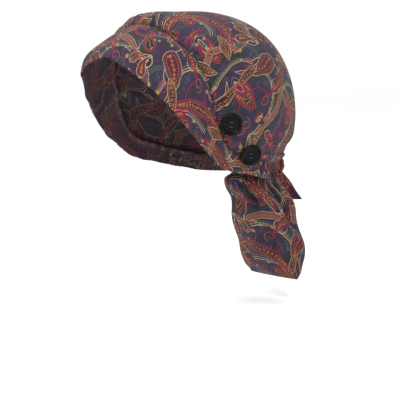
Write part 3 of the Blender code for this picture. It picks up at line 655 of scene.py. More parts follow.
def makeEnd(name, rows, phase):
    # a flat strip of folded cloth with a hemmed square end
    stations, across = 90, 28
    knots = np.linspace(0.0, 1.0, len(rows))
    places = np.linspace(0.0, 1.0, stations)
    column = lambda place: smooth(knots, [row[place] for row in rows], places)
    centre = knotCentre() + tieLook["endLength"] * np.stack([column(0), column(1), -column(2)], -1)
    half, twist = column(3) * tieLook["endWidth"], np.radians(column(4))
    wide = np.stack([np.cos(twist), np.sin(twist), np.zeros(stations)], -1)
    thick = np.stack([-np.sin(twist), np.cos(twist), np.full(stations, 0.25)], -1)
    thick = thick / size(thick) * tieLook["endThick"] / 2
    step = np.linspace(-1.0, 1.0, across)
    fold = 0.5 * np.sin(2.2 * step[None] + phase) + 0.35 * np.sin(5.0 * step[None] + 4.0
                                                                  * places[:, None] + phase)
    fold = fold * (1.0 - 0.55 * places[:, None]) * 0.5
    edge = 1.0 - 0.35 * np.abs(step) ** 14
    hem = np.exp(-((np.abs(step[None]) * half[:, None] - half[:, None] + tieLook["hem"]) / 0.0004) ** 2)
    hem = np.maximum(hem, np.exp(-((places[:, None] - 0.95) / 0.012) ** 2))
    sheet = centre[:, None] + wide[:, None] * (step[None, :, None] * half[:, None, None])
    upper = sheet + thick[:, None] * (edge[None] - 0.22 * hem + fold)[..., None]
    lower = sheet - thick[:, None] * (edge[None] - 0.22 * hem - fold)[..., None]
    ring = np.concatenate([upper, lower[:, ::-1]], 1)
    faces = quads(stations, ring.shape[1], True).tolist()
    for start in (0, (stations - 1) * 2 * across):
        faces += [[start + i, start + i + 1, start + 2 * across - 2 - i,
                   start + 2 * across - 1 - i] for i in range(across - 1)]
    u = np.concatenate([step, 2.2 + step])[None] * 0.006 + np.zeros((stations, 1))
    v = places[:, None] * tieLook["endLength"] + np.zeros((1, 2 * across))
    flat = np.stack([u, v], -1).reshape(-1, 2)
    made = addMesh(name, ring.reshape(-1, 3), faces, [tuple(flat[i]) for face in faces for i in face])
    closeAndTurn(made)
    proud = thick / size(thick) * stitch["proud"]
    for face, sign in ((upper, 1.0), (lower, -1.0)):
        for edge in (tieLook["hemStep"], across - 1 - tieLook["hemStep"]):
            tieLines.append(face[8:-4, edge] + sign * proud[8:-4])
    return made


print("tie")
tieWrap = makeWrap()
tieKnot = makeKnot()
tieEndLeft = makeEnd("tieEndLeft", leftEnd, 0.4)
tieEndRight = makeEnd("tieEndRight", rightEnd, 1.9)


# Buttons
button = {"diameter": 0.023, "thick": 0.0042, "hole": 0.0020, "holeSpacing": 0.0044, "segments": 96,
          "bevel": 0.00022, "thread": 0.00042, "strandGap": 0.00036, "strandFloor": 0.52, "sharp": 35,
          "shank": 0.0016, "shankStrands": 9, "shankSunk": 0.0006, "shankMost": 0.008}
# share of the radius and of the thickness, from the middle of the back to the middle of the face
buttonOutline = ((0.0, 0.0), (0.74, 0.0), (0.80, 0.02), (0.88, 0.10), (0.95, 0.24), (0.99, 0.42),
                 (1.0, 0.55), (0.99, 0.70),
                 (0.965, 0.83), (0.925, 0.93), (0.875, 0.985), (0.83, 1.0), (0.785, 0.985), (0.745, 0.93),
                 (0.715, 0.84),
                 (0.69, 0.72), (0.665, 0.62), (0.63, 0.565), (0.58, 0.545), (0.45, 0.53), (0.30, 0.515),
                 (0.0, 0.50))
buttonRows = (("upper", 87.0, -7.2, 68.0, -12.0), ("lower", 104.6, -25.3, 78.0, -22.0))


def makeButtonMesh():
    count = button["segments"]
    points = [(0.0, 0.0, 0.0)]
    for out, rise in buttonOutline[1:-1]:
        for step in range(count):
            angle = 2 * math.pi * step / count
            reach = out * button["diameter"] / 2
            points.append((reach * math.cos(angle), reach * math.sin(angle), rise * button["thick"]))
    points.append((0.0, 0.0, buttonOutline[-1][1] * button["thick"]))
    faces = (quads(len(buttonOutline) - 2, count, True) + 1).tolist()
    last = len(points) - 1
    for step in range(count):
        after = (step + 1) % count
        faces += [[0, 1 + after, 1 + step], [last, last - count + step, last - count + after]]
    blank = addMesh("buttonBlank", points, faces)
    closeAndTurn(blank)
    drillMesh = bpy.data.meshes.new("buttonDrill")
    work = bmesh.new()
    for quarter in range(4):
        angle = math.radians(45 + 90 * quarter)
        out = button["holeSpacing"] / 2 * math.sqrt(2)
        bmesh.ops.create_cone(work, cap_ends=True, segments=28, radius1=button["hole"] / 2,
                              radius2=button["hole"] / 2,
                              depth=button["thick"] * 2,
                              matrix=Matrix.Translation((out * math.cos(angle), out * math.sin(angle),
                                                         0.002)))
    work.to_mesh(drillMesh)
    work.free()
    drill = addObject("buttonDrill", drillMesh)
    holes = blank.modifiers.new("holes", "BOOLEAN")
    holes.operation, holes.object = "DIFFERENCE", drill
    soften = blank.modifiers.new("soften", "BEVEL")
    soften.width, soften.segments = button["bevel"], 3
    soften.limit_method, soften.angle_limit = "ANGLE", math.radians(50)
    bpy.context.view_layer.update()
    mesh = bpy.data.meshes.new_from_object(blank.evaluated_get(bpy.context.evaluated_depsgraph_get()))
    for thing in (blank, drill):
        bpy.data.objects.remove(thing, do_unlink=True)
    return mesh


def threadMesh():
    # two pairs of thread strands that cross between the holes
    work = bmesh.new()
    out = button["holeSpacing"] / 2
    floor = button["thick"] * button["strandFloor"]
    for sign in (-1.0, 1.0):
        for strand in range(4):
            shift = (strand - 1.5) * button["strandGap"]
            path = [(-1.12, -0.0016), (-1.0, 0.0), (-0.8, 0.00042), (-0.4, 0.00062), (0.0, 0.00068),
                    (0.4, 0.00062), (0.8, 0.00042), (1.0, 0.0), (1.12, -0.0016)]
            previous = None
            for along, rise in path:
                centre = Vector((out * along, sign * out + shift, floor + rise))
                ring = [work.verts.new(centre + Vector((0.0, math.cos(a) * button["thread"] / 2,
                                                        math.sin(a) * button["thread"] / 2)))
                        for a in np.linspace(0, 2 * math.pi, 9)[:-1]]
                if previous:
                    for i in range(8):
                        work.faces.new((previous[i], previous[(i + 1) % 8], ring[(i + 1) % 8], ring[i]))
                else:
                    work.faces.new(ring[::-1])
                previous = ring
            work.faces.new(previous)
    bmesh.ops.recalc_face_normals(work, faces=work.faces)
    mesh = bpy.data.meshes.new("buttonThread")
    work.to_mesh(mesh)
    work.free()
    return mesh


def buttonPlace(row, side):
    # the same seat as on the cloth of the frame, found from the frame's button itself
    label, turn, rise, facingTurn, facingRise = row
    facing = Vector(direction(side * facingTurn, facingRise))
    sideways = Vector(up).cross(facing).normalized()
    upright = facing.cross(sideways)
    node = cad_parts[f"button_{label}_{'left' if side > 0 else 'right'}"]
    points = np.array([vertex.co for vertex in node.data.vertices])
    depth = points @ np.array(facing)
    flat = [points @ np.array(axis) for axis in (sideways, upright)]
    place = (Vector(sideways) * float((flat[0].min() + flat[0].max()) / 2)
             + Vector(upright) * float((flat[1].min() + flat[1].max()) / 2) + facing * float(depth.min()))
    return Matrix.Translation(place) @ Matrix((sideways, upright, facing)).transposed().to_4x4()


def shankMesh(place, cloths):
    # the bundle of thread under a button, from its back down into the cloth
    way = (place.to_3x3() @ Vector((0.0, 0.0, -1.0))).normalized()
    start = place.translation
    gaps = [tree.ray_cast(start - way * 0.0001, way)[3] for tree in cloths]
    depth = min([gap for gap in gaps if gap is not None] + [button["shankMost"]]) + button["shankSunk"]
    work = bmesh.new()
    for strand in range(button["shankStrands"]):
        around = 2 * math.pi * strand / button["shankStrands"]
        previous = None
        for share in np.linspace(0.0, 1.0, 9):
            turn = around + 2.6 * share
            out = button["shank"] / 2 * (1.0 - 0.28 * math.sin(math.pi * share))
            centre = Vector((math.cos(turn) * out, math.sin(turn) * out, 0.0006 - share * (depth + 0.0006)))
            ring = []
            for angle in np.linspace(0.0, 2 * math.pi, 7)[:-1]:
                beside = Vector((math.cos(angle), math.sin(angle), 0.0)) * button["thread"] * 0.7
                ring.append(work.verts.new(centre + beside))
            if previous:
                for i in range(6):
                    work.faces.new((previous[i], previous[(i + 1) % 6], ring[(i + 1) % 6], ring[i]))
            else:
                work.faces.new(ring)
            previous = ring
        work.faces.new(previous[::-1])
    bmesh.ops.recalc_face_normals(work, faces=work.faces)
    mesh = bpy.data.meshes.new("buttonShank")
    work.to_mesh(mesh)
    work.free()
    return mesh


def clothTree(piece):
    corners = [vertex.co for vertex in piece.data.vertices]
    return BVHTree.FromPolygons(corners, [tuple(face.vertices) for face in piece.data.polygons])


print("buttons")
buttons, threads, shanks = [], [], []
clothTrees = [clothTree(frontBand), clothTree(crownPiece)]
buttonShape, threadShape = makeButtonMesh(), threadMesh()
for row in buttonRows:
    for side in (1, -1):
        label = row[0].capitalize() + ("Left" if side > 0 else "Right")
        place = buttonPlace(row, side)
        for name, shape, group in (("button", buttonShape, buttons), ("thread", threadShape, threads)):
            made = addObject(name + label, shape.copy())
            made.data.transform(place)
            made.data.shade_smooth()
            made.data.set_sharp_from_angle(angle=math.radians(button["sharp"]))
            group.append(made)
        made = addObject("shank" + label, shankMesh(place, clothTrees))
        made.data.transform(place)
        made.data.shade_smooth()
        shanks.append(made)


# Node trees written as sums

class Value:  # a number socket that takes part in plain arithmetic
    def __init__(self, tree, socket):
        self.tree, self.socket = tree, socket

    def math(self, operation, *others):
        made = self.tree.add("ShaderNodeMath", {"operation": operation}, dict(enumerate((self,) + others)))
        return Value(self.tree, made.outputs[0])

    def __add__(self, other): return self.math("ADD", other)
    def __mul__(self, other): return self.math("MULTIPLY", other)
    def __sub__(self, other): return self.math("SUBTRACT", other)
    def __rsub__(self, other): return (self * -1.0) + other
    def __truediv__(self, other): return self.math("DIVIDE", other)
    def __abs__(self): return self.math("ABSOLUTE")
    def __pow__(self, other): return self.math("POWER", other)
    def __lt__(self, other): return self.math("LESS_THAN", other)
    def __gt__(self, other): return self.math("GREATER_THAN", other)
    __radd__, __rmul__ = __add__, __mul__

    def wrap(self, span): return self.math("WRAP", span / 2, -span / 2)
    def round(self): return self.math("ROUND")
    def sin(self): return self.math("SINE")
    def cos(self): return self.math("COSINE")
    def max(self, other): return self.math("MAXIMUM", other)
    def min(self, other): return self.math("MINIMUM", other)
    def below(self, other): return self.math("ARCTAN2", other)

    def step(self, start, end):  # 0 before start, 1 after end
        made = self.tree.add("ShaderNodeMapRange", {"clamp": True},
                             {0: self, 1: start, 2: end, 3: 0.0, 4: 1.0})
        return Value(self.tree, made.outputs[0])


class Tree:
    def __init__(self, nodeTree):
        self.nodeTree = nodeTree

    def add(self, kind, settings, inputs):
        made = self.nodeTree.nodes.new(kind)
        for name, value in settings.items():
            if name == "stops":
                fillRamp(made.color_ramp, value)
            elif name == "points":
                fillCurve(made.mapping, value)
            else:
                setattr(made, name, value)
        for name, value in inputs.items():
            socket = made.inputs[name]
            value = value.socket if isinstance(value, Value) else value
            if isinstance(value, bpy.types.NodeSocket):
                self.nodeTree.links.new(value, socket)
            else:
                socket.default_value = value
        return made

    def mix(self, amount, first, second):
        made = self.add("ShaderNodeMix", {"data_type": "RGBA"}, {0: amount, 6: first, 7: second})
        return made.outputs[2]

    def ramp(self, amount, rows, mode="CONSTANT"):
        stops = [(place, inks[name]) for place, name in rows]
        return self.add("ShaderNodeValToRGB", {"stops": (mode, stops)}, {"Fac": amount})

    def noise(self, place, scale, **more):
        inputs = {"Vector": place, "Scale": scale, **more}
        return self.add("ShaderNodeTexNoise", {"noise_dimensions": "2D"}, inputs)


def newMaterial(name):
    material = bpy.data.materials.new(name)
    material.use_nodes = True
    return material, Tree(material.node_tree), material.node_tree.nodes["Principled BSDF"]


def fillRamp(ramp, stops):
    mode, stops = stops
    ramp.interpolation = mode
    while len(ramp.elements) < len(stops):
        ramp.elements.new(1.0)
    for element, (place, colour) in zip(ramp.elements, stops):
        element.position = place
    for element, (place, colour) in zip(ramp.elements, stops):
        element.color = colour


def fillCurve(mapping, points):
    curve = mapping.curves[0]
    while len(curve.points) < len(points):
        curve.points.new(0.5, 0.5)
    for point, place in zip(curve.points, points):
        point.location = place
    mapping.update()


def ink(red, green, blue, alpha=1.0):  # a colour as mixed on screen, 0 to 255
    linear = [((c / 255 + 0.055) / 1.055) ** 2.4 if c > 10 else c / 255 / 12.92 for c in (red, green, blue)]
    return (*linear, alpha)


inks = {"navy": ink(39, 33, 50), "plum": ink(53, 32, 49), "slate": ink(40, 37, 44), "moss": ink(33, 36, 35),
        "dusk": ink(47, 39, 64), "thread": ink(74, 80, 82), "crimson": ink(132, 27, 52),
        "wine": ink(66, 25, 38),
        "cream": ink(172, 149, 108), "orange": ink(152, 68, 48), "yellow": ink(168, 134, 68),
        "olive": ink(86, 86, 68),
        "black": ink(25, 22, 30), "none": (0.0, 0.0, 0.0, 0.0)}

# Paisley print: the repeat and its motifs, all in millimetres
printSizes = {"width": 116.0, "height": 98.0, "shift": 38.0, "denser": 1.16, "weave": 0.42, "waver": 1.7}
# Each profile is a row of points: share of the length, share of the half width
profiles = {
    "drop": ((0.0, 1.0), (0.08, 1.0), (0.22, 0.90), (0.38, 0.66), (0.55, 0.42), (0.72, 0.26),
             (0.90, 0.13), (1.0, 0.0)),
    "leaf": ((0.0, 1.0), (0.25, 0.94), (0.5, 0.76), (0.75, 0.46), (0.92, 0.20), (1.0, 0.0)),
    "stick": ((0.0, 1.0), (0.5, 0.96), (0.85, 0.80), (0.96, 0.55), (1.0, 0.0)),
}
# kind, x, y, turn, bend radius, length, half width, layers, flower pitch
motifRows = (
    ("leaf", 62, -18, 20, 74, 92, 6.4, "crescent", 4.6),
    ("leaf", 6, 22, -14, 66, 84, 5.8, "crescent", 4.4),
    ("drop", 2, -6, -32, 36, 64, 11.5, "grand", 4.8),
    ("stick", 46, 24, -6, 58, 46, 4.2, "bars", 2.2),
    ("leaf", 22, -36, -50, 180, 36, 6.0, "leaf", 4.0),
    ("drop", 84, 32, 158, 24, 44, 8.6, "rose", 4.2),
    ("stick", 101, -28, 86, 64, 40, 3.8, "bars", 2.2),
    ("leaf", -16, 38, 10, 110, 34, 5.4, "leaf", 3.8),
    ("drop", 50, -46, 205, 20, 30, 6.4, "rose", 3.8),
    ("drop", 74, 6, 60, 18, 32, 6.0, "leaf", 3.8),
    ("leaf", 34, 48, 62, 44, 40, 4.6, "crescent", 3.6),
    ("drop", -24, -38, 110, 20, 30, 6.2, "grand", 4.0),
)
# start of each layer from the edge inwards, in millimetres
layerRows = {
    "grand": ((0.0, "cream"), (0.5, "slate"), (1.7, "crimson"), (2.4, "black"), (3.2, "orange"),
              (3.5, "black"), (4.1, "wine")),
    "crescent": ((0.0, "crimson"), (1.0, "black"), (1.5, "crimson"), (2.0, "black")),
    "leaf": ((0.0, "cream"), (0.5, "moss"), (1.3, "crimson"), (1.7, "black")),
    "rose": ((0.0, "crimson"), (0.8, "slate"), (1.6, "crimson"), (2.2, "black")),
    "bars": ((0.0, "cream"), (0.5, "black"), (1.2, "olive"), (1.6, "black")),
}
# place and ink of each stop on the colour ramps
rampRows = {
    "bars": ((0.0, "crimson"), (0.30, "black"), (0.44, "orange"), (0.62, "black"), (0.74, "cream"),
             (0.86, "black")),
    "flower": ((0.0, "cream"), (0.16, "wine"), (0.34, "orange"), (0.54, "crimson"), (0.84, "yellow"),
               (0.97, "none")),
    "sprig": ((0.0, "crimson"), (0.28, "black"), (0.36, "yellow"), (0.78, "olive"), (0.98, "none")),
    "ground": ((0.30, "moss"), (0.40, "slate"), (0.47, "navy"), (0.53, "dusk"), (0.60, "navy"),
               (0.66, "plum"), (0.74, "slate")),
}
# x, y, turn, radius, length, thickness of each line and the lines' places across
tendrilRows = (
    (30, 4, 40, 34, 74, 0.34, ((0.0, "cream"), (2.3, "cream"), (4.6, "olive"))),
    (88, 10, -28, 40, 66, 0.55, ((0.0, "crimson"), (2.6, "cream"))),
    (10, 40, 120, 30, 60, 0.34, ((0.0, "cream"), (2.2, "cream"), (4.4, "olive"))),
    (60, 40, 200, 26, 52, 0.50, ((0.0, "crimson"), (2.4, "orange"))),
    (96, -44, 10, 44, 70, 0.34, ((0.0, "olive"), (2.2, "cream"))),
    (38, -20, 100, 24, 44, 0.50, ((0.0, "wine"), (2.0, "crimson"))),
    (-10, -30, 60, 30, 52, 0.36, ((0.0, "thread"), (1.8, "thread"), (3.6, "thread"))),
    (44, -38, 30, 48, 78, 0.32, ((0.0, "cream"), (2.6, "cream"), (5.2, "olive"))),
    (0, 2, 75, 40, 68, 0.32, ((0.0, "cream"), (2.4, "thread"))),
    (78, -20, 150, 36, 62, 0.50, ((0.0, "crimson"), (1.8, "wine"))),
    (26, 26, 215, 28, 50, 0.32, ((0.0, "cream"), (1.9, "olive"))),
    (70, 30, 95, 22, 40, 0.45, ((0.0, "crimson"), (2.0, "yellow"))),
)
# x, y, turn, spacing of the coil, outer radius, ink
curlRows = ((28, 12, 0, 6.0, 10.0, "cream"), (84, 8, 140, 5.2, 8.4, "crimson"),
            (-24, -24, 80, 5.6, 9.4, "cream"),
            (8, 62, 200, 5.0, 8.0, "crimson"), (70, 58, 20, 6.2, 10.4, "thread"),
            (46, -2, 60, 4.6, 7.4, "orange"),
            (98, -14, 250, 5.4, 9.0, "cream"), (18, -22, 300, 4.8, 7.6, "olive"))
# x, y, size, petals, turn
sprigRows = ((14, -14, 3.2, 5, 0.3), (30, 44, 2.8, 6, 1.1), (64, 4, 2.8, 5, 2.0), (94, 20, 3.0, 5, 0.0),
             (-8, 12, 2.6, 6, 0.6), (38, -30, 2.6, 5, 1.4), (108, -6, 2.8, 5, 0.9), (82, -42, 2.4, 6, 0.2),
             (-32, 4, 2.6, 5, 1.8), (52, 12, 2.2, 5, 0.7), (20, 30, 2.2, 6, 2.3), (72, 20, 2.2, 5, 1.2),
             (40, 10, 2.2, 5, 0.4), (58, -34, 2.6, 6, 1.6), (90, 46, 2.4, 5, 2.4), (4, -44, 2.4, 5, 0.8),
             (-20, 20, 2.2, 6, 1.9), (76, -8, 2.0, 5, 0.1))


def paintGroup(name, draw):
    # a small tree of its own: takes the paint so far and gives it back with one motif on it
    nodeTree = bpy.data.node_groups.new(name, "ShaderNodeTree")
    for socket, kind in (("Paint", "NodeSocketColor"), ("X", "NodeSocketFloat"), ("Y", "NodeSocketFloat")):
        nodeTree.interface.new_socket(socket, in_out="INPUT", socket_type=kind)
    nodeTree.interface.new_socket("Paint", in_out="OUTPUT", socket_type="NodeSocketColor")
    tree = Tree(nodeTree)
    given = tree.add("NodeGroupInput", {}, {})
    x, y = Value(tree, given.outputs["X"]), Value(tree, given.outputs["Y"])
    tree.add("NodeGroupOutput", {}, {"Paint": draw(tree, given.outputs["Paint"], x, y)})
    return nodeTree


def onRepeat(x, y, atX, atY, turn):
    # coordinates from a motif's own middle, the nearest of its repeats, turned its way
    column = ((x - atX) / printSizes["width"]).round()
    localX = x - atX - column * printSizes["width"]
    localY = (y - atY - column * printSizes["shift"]).wrap(printSizes["height"])
    c, s = math.cos(math.radians(turn)), math.sin(math.radians(turn))
    return localX * c + localY * s, localY * c - localX * s


def onBend(a, b, bend):
    # distance along and away from a bent line
    reach = (a * a + (b + bend) * (b + bend)) ** 0.5
    return a.below(b + bend) * float(bend), reach - bend


def petals(x, y, size, count, turn):
    # distance from a small flower's middle, 1 at the edge of its petals
    reach = (x * x + y * y) ** 0.5
    waves = (x.below(y) * float(count) + turn).cos()
    return reach / (waves * (size * 0.28) + size * 0.80)


def motif(tree, paint, x, y, row):
    kind, atX, atY, turn, bend, length, half, layers, pitch = row
    a, b = onRepeat(x, y, atX, atY, turn)
    along, across = onBend(a, b, bend)
    if kind == "drop":
        away = (across * across + along.min(0.0) * along.min(0.0)) ** 0.5
        share = along.max(0.0) / (length - half)
    else:
        away = abs(across)
        share = abs(along) / (length / 2)
    curve = tree.add("ShaderNodeFloatCurve", {"points": profiles[kind]},
                     {"Factor": 1.0, "Value": share.min(1.0)})
    inside = Value(tree, curve.outputs[0]) * half - away
    deepest = 14.0
    rows = [(0.0, "none")] + [(max(start, 0.001) / deepest, name) for start, name in layerRows[layers]]
    ramp = tree.ramp(inside / deepest, rows)
    paint = tree.mix(Value(tree, ramp.outputs["Alpha"]), paint, ramp.outputs["Color"])
    core = layerRows[layers][-1][0]
    if layers == "bars":
        bar = (along / pitch).math("FRACT")
        chosen = tree.ramp(bar, rampRows["bars"])
        return tree.mix(inside > core + 0.2, paint, chosen.outputs["Color"])
    # a chain of small flowers down the middle
    near = along.wrap(pitch)
    odd = (along / pitch).round() * 2.1
    flower = petals(near, across + odd.sin() * 0.5, pitch * 0.40, 5, odd)
    blossom = tree.ramp(flower.min(1.0), rampRows["flower"])
    paint = tree.mix(Value(tree, blossom.outputs["Alpha"]) * (inside > core), paint, blossom.outputs["Color"])
    # beads beside the chain
    beadPitch = pitch * 0.5
    beadAlong = (((along / beadPitch).math("FRACT") - 0.5) * beadPitch) ** 2.0
    beads = (beadAlong + (inside - core - 1.0) * (inside - core - 1.0)) ** 0.5
    return tree.mix((beads < 0.42) * (inside > core), paint, inks["yellow"])


def tendril(tree, paint, x, y, row):
    # thin lines side by side along one bend, the second one dotted
    atX, atY, turn, bend, length, thick, lines = row
    a, b = onRepeat(x, y, atX, atY, turn)
    along, across = onBend(a, b, bend)
    ends = abs(along) < length / 2
    dots = (along / 1.5).math("FRACT") < 0.66
    for place, (offset, name) in enumerate(lines):
        line = (abs(across - offset) < thick) * ends
        paint = tree.mix(line * dots if place == 1 else line, paint, inks[name])
    return paint


def curl(tree, paint, x, y, row):
    # a thin dotted line rolled up from its middle
    atX, atY, turn, gap, outer, name = row
    a, b = onRepeat(x, y, atX, atY, turn)
    reach = (a * a + b * b) ** 0.5
    angle = a.below(b)
    rolled = (reach - angle * (gap / (2 * math.pi))).wrap(gap)
    dots = (angle * reach / 1.4).math("FRACT") < 0.72
    line = (abs(rolled) < 0.45) * (reach < outer) * (reach > gap * 0.40) * dots
    return tree.mix(line, paint, inks[name])


def sprig(tree, paint, x, y, row):
    # a single small flower
    atX, atY, big, count, turn = row
    a, b = onRepeat(x, y, atX, atY, 0.0)
    blossom = tree.ramp(petals(a, b, big, count, turn).min(1.0), rampRows["sprig"])
    return tree.mix(Value(tree, blossom.outputs["Alpha"]), paint, blossom.outputs["Color"])


def darkGround(tree, paint, x, y):
    # patches of dark colours with thin drawn swirls
    place = tree.add("ShaderNodeCombineXYZ", {}, {"X": x * 0.001, "Y": y * 0.001}).outputs[0]
    patches = tree.noise(place, 42.0, Detail=2.0, Roughness=0.6)
    ground = tree.ramp(patches.outputs[0], rampRows["ground"], "LINEAR")
    swirl = tree.noise(place, 24.0, Detail=1.0, Distortion=0.5)
    rings = (Value(tree, swirl.outputs[0]) * 30.0).math("FRACT")
    faint = tree.noise(place, 60.0)
    drawn = (rings < 0.22) * Value(tree, faint.outputs[0]).step(0.44, 0.58) * 0.55
    return tree.mix(drawn, ground.outputs["Color"], inks["thread"])


def paisleyPrint():
    parts = [paintGroup("darkGround", darkGround)]
    for title, draw, rows in (("tendril", tendril, tendrilRows), ("curl", curl, curlRows),
                              ("sprig", sprig, sprigRows), ("motif", motif, motifRows)):
        for number, row in enumerate(rows):
            parts.append(paintGroup(f"{title}{number}", lambda tree, paint, x,
                                    y: draw(tree, paint, x, y, row)))

    def drawAll(tree, paint, x, y):
        for part in parts:
            paint = tree.add("ShaderNodeGroup", {"node_tree": part},
                             {"Paint": paint, "X": x, "Y": y}).outputs["Paint"]
        return paint
    return paintGroup("paisleyPrint", drawAll)


wholePrint = paisleyPrint()
cottonFinish = {"Roughness": 0.82, "Specular IOR Level": 0.18, "Sheen Weight": 0.04, "Sheen Roughness": 0.5}


def printedCotton(name, shiftX, shiftY, turn, faded=0.0):
    # woven cotton printed with the paisley, laid along the cloth's own coordinates
    material, tree, shader = newMaterial(name)
    flat = tree.add("ShaderNodeUVMap", {"uv_map": "print"}, {})
    c, s = math.cos(math.radians(turn)), math.sin(math.radians(turn))
    split = tree.add("ShaderNodeSeparateXYZ", {}, {"Vector": flat.outputs["UV"]})
    u, v = (Value(tree, split.outputs[i]) * 1000.0 for i in (0, 1))
    # hand-drawn waver, so that no line is ruled
    warp = tree.noise(flat.outputs["UV"], 75.0, Detail=1.0)
    bent = tree.add("ShaderNodeSeparateColor", {}, {"Color": warp.outputs["Color"]})
    waverX, waverY = ((Value(tree, bent.outputs[i]) - 0.5) * (2 * printSizes["waver"]) for i in (0, 1))
    denser = printSizes["denser"]
    x = u * (c * denser) + v * (s * denser) + shiftX + waverX
    y = v * (c * denser) - u * (s * denser) + shiftY + waverY
    paint = tree.add("ShaderNodeGroup", {"node_tree": wholePrint}, {"X": x, "Y": y}).outputs["Paint"]
    if faded:
        paint = tree.mix(faded, paint, ink(70, 58, 66))
    # yarns, crossing over and under; the colour is painted darker where the weave and the mottle lie low
    # (painted shade), with a random mottled tone of the cloth's own
    pitch = 2 * math.pi / printSizes["weave"]
    yarn = (u * pitch).sin() * (v * pitch).sin()
    tone = tree.noise(flat.outputs["UV"], 900.0, Detail=2.0)
    # painted shade: darker where the bump's height is lower, both in the weave and in the mottle; the mottle
    # is also a random tone of the cloth
    toneAndWeaveShade = Value(tree, tone.outputs[0]) * 0.5 + yarn * 0.10 + 0.75
    grey = tree.add("ShaderNodeCombineColor", {}, {0: toneAndWeaveShade, 1: toneAndWeaveShade, 2: toneAndWeaveShade}).outputs[0]
    paint = tree.add("ShaderNodeMix", {"data_type": "RGBA", "blend_type": "MULTIPLY"},
                     {0: 1.0, 6: paint, 7: grey}).outputs[2]
    bump = tree.add("ShaderNodeBump", {},
                    {"Strength": 0.35, "Distance": 0.0003,
                     "Height": yarn * 0.5 + Value(tree, tone.outputs[0])})
    tree.nodeTree.links.new(paint, shader.inputs["Base Color"])
    tree.nodeTree.links.new(bump.outputs[0], shader.inputs["Normal"])
    for socket, value in cottonFinish.items():
        shader.inputs[socket].default_value = value
    return material


def wanderingFinish(name, first, second, smoothest, roughest, scale, relief):
    # two near colours, the roughness and a low relief that wander over the piece
    material, tree, shader = newMaterial(name)
    place = tree.add("ShaderNodeTexCoord", {}, {}).outputs["Object"]
    noise = tree.add("ShaderNodeTexNoise", {}, {"Vector": place, "Scale": scale, "Detail": 3.0})
    share = Value(tree, noise.outputs[0]).step(0.34, 0.66)
    rough = share * (roughest - smoothest) + smoothest
    bump = tree.add("ShaderNodeBump", {}, {"Strength": 0.3, "Distance": relief, "Height": noise.outputs[0]})
    tree.nodeTree.links.new(tree.mix(share, first, second), shader.inputs["Base Color"])
    tree.nodeTree.links.new(rough.socket, shader.inputs["Roughness"])
    tree.nodeTree.links.new(bump.outputs[0], shader.inputs["Normal"])
    return material


print("print and finishes")
# shift of the print along and across in millimetres, and its turn; the wrong side is half faded
lays = {"band": (30.0, -8.0, 0.0), "crown": (12.0, 20.0, 20.0), "pouch": (60.0, 20.0, 0.0)}
(bandCotton, bandReverse), (crownCotton, crownReverse), (pouchCotton, pouchReverse) = [
    (printedCotton(name + "Cotton", *lay), printedCotton(name + "Reverse", *lay, 0.5)) for name,
    lay in lays.items()]
tieCotton = printedCotton("tieCotton", 20.0, 40.0, 0.0)
buttonPolish = wanderingFinish("buttonPolish", ink(5, 5, 6), ink(10, 10, 11), 0.12, 0.20, 900.0, 0.00002)
buttonPolish.node_tree.nodes["Principled BSDF"].inputs["Specular IOR Level"].default_value = 0.09
buttonTwine = wanderingFinish("buttonTwine", ink(14, 13, 15), ink(30, 28, 32), 0.55, 0.75, 2500.0, 0.00005)
hemThread = wanderingFinish("hemThread", ink(40, 26, 44), ink(66, 42, 58), 0.60, 0.80, 1800.0, 0.00005)
reverses = {"frontBand": bandReverse, "crownPiece": crownReverse, "ponytailPouch": pouchReverse}
seamAllowance.data.materials[0] = seamAllowance.data.materials[1] = bandReverse
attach(seamAllowance, "root")


def stitchNodes():
    # a row of thread stitches along each sewing line
    nodeTree = bpy.data.node_groups.new("stitchRow", "GeometryNodeTree")
    for name, kind in (("Line", "Geometry"), ("Spacing", "Float"), ("Length", "Float"),
                       ("Thickness", "Float"),
                       ("Lean", "Float"), ("Seed", "Int"), ("Thread", "Material")):
        nodeTree.interface.new_socket(name, in_out="INPUT", socket_type="NodeSocket" + kind)
    nodeTree.interface.new_socket("Stitches", in_out="OUTPUT", socket_type="NodeSocketGeometry")
    tree = Tree(nodeTree)
    given = tree.add("NodeGroupInput", {}, {}).outputs
    curve = tree.add("GeometryNodeMeshToCurve", {}, {"Mesh": given["Line"]}).outputs[0]
    spots = tree.add("GeometryNodeResampleCurve", {"mode": "LENGTH"},
                     {"Curve": curve, "Length": given["Spacing"]})
    grain = tree.add("GeometryNodeMeshUVSphere", {}, {"Segments": 6, "Rings": 4, "Radius": 0.5})
    tangent = tree.add("GeometryNodeInputTangent", {}, {}).outputs[0]
    shake = tree.add("FunctionNodeRandomValue", {"data_type": "FLOAT_VECTOR"},
                     {0: (-1.0, -1.0, -1.0), 1: (1.0, 1.0, 1.0), "Seed": given["Seed"]}).outputs[0]
    leaned = tree.add("ShaderNodeVectorMath", {"operation": "SCALE"},
                      {0: shake, "Scale": given["Lean"]}).outputs[0]
    way = tree.add("ShaderNodeVectorMath", {"operation": "ADD"}, {0: tangent, 1: leaned}).outputs[0]
    turned = tree.add("FunctionNodeAlignRotationToVector", {"axis": "X"}, {"Vector": way}).outputs[0]
    span = tree.add("ShaderNodeCombineXYZ", {},
                    {0: given["Length"], 1: given["Thickness"], 2: given["Thickness"]})
    placed = tree.add("GeometryNodeInstanceOnPoints", {}, {
        "Points": spots.outputs[0], "Instance": grain.outputs["Mesh"], "Rotation": turned,
        "Scale": span.outputs[0]})
    real = tree.add("GeometryNodeRealizeInstances", {}, {"Geometry": placed.outputs[0]})
    dyed = tree.add("GeometryNodeSetMaterial", {}, {"Geometry": real.outputs[0], "Material": given["Thread"]})
    tree.add("NodeGroupOutput", {}, {"Stitches": dyed.outputs[0]})
    return nodeTree


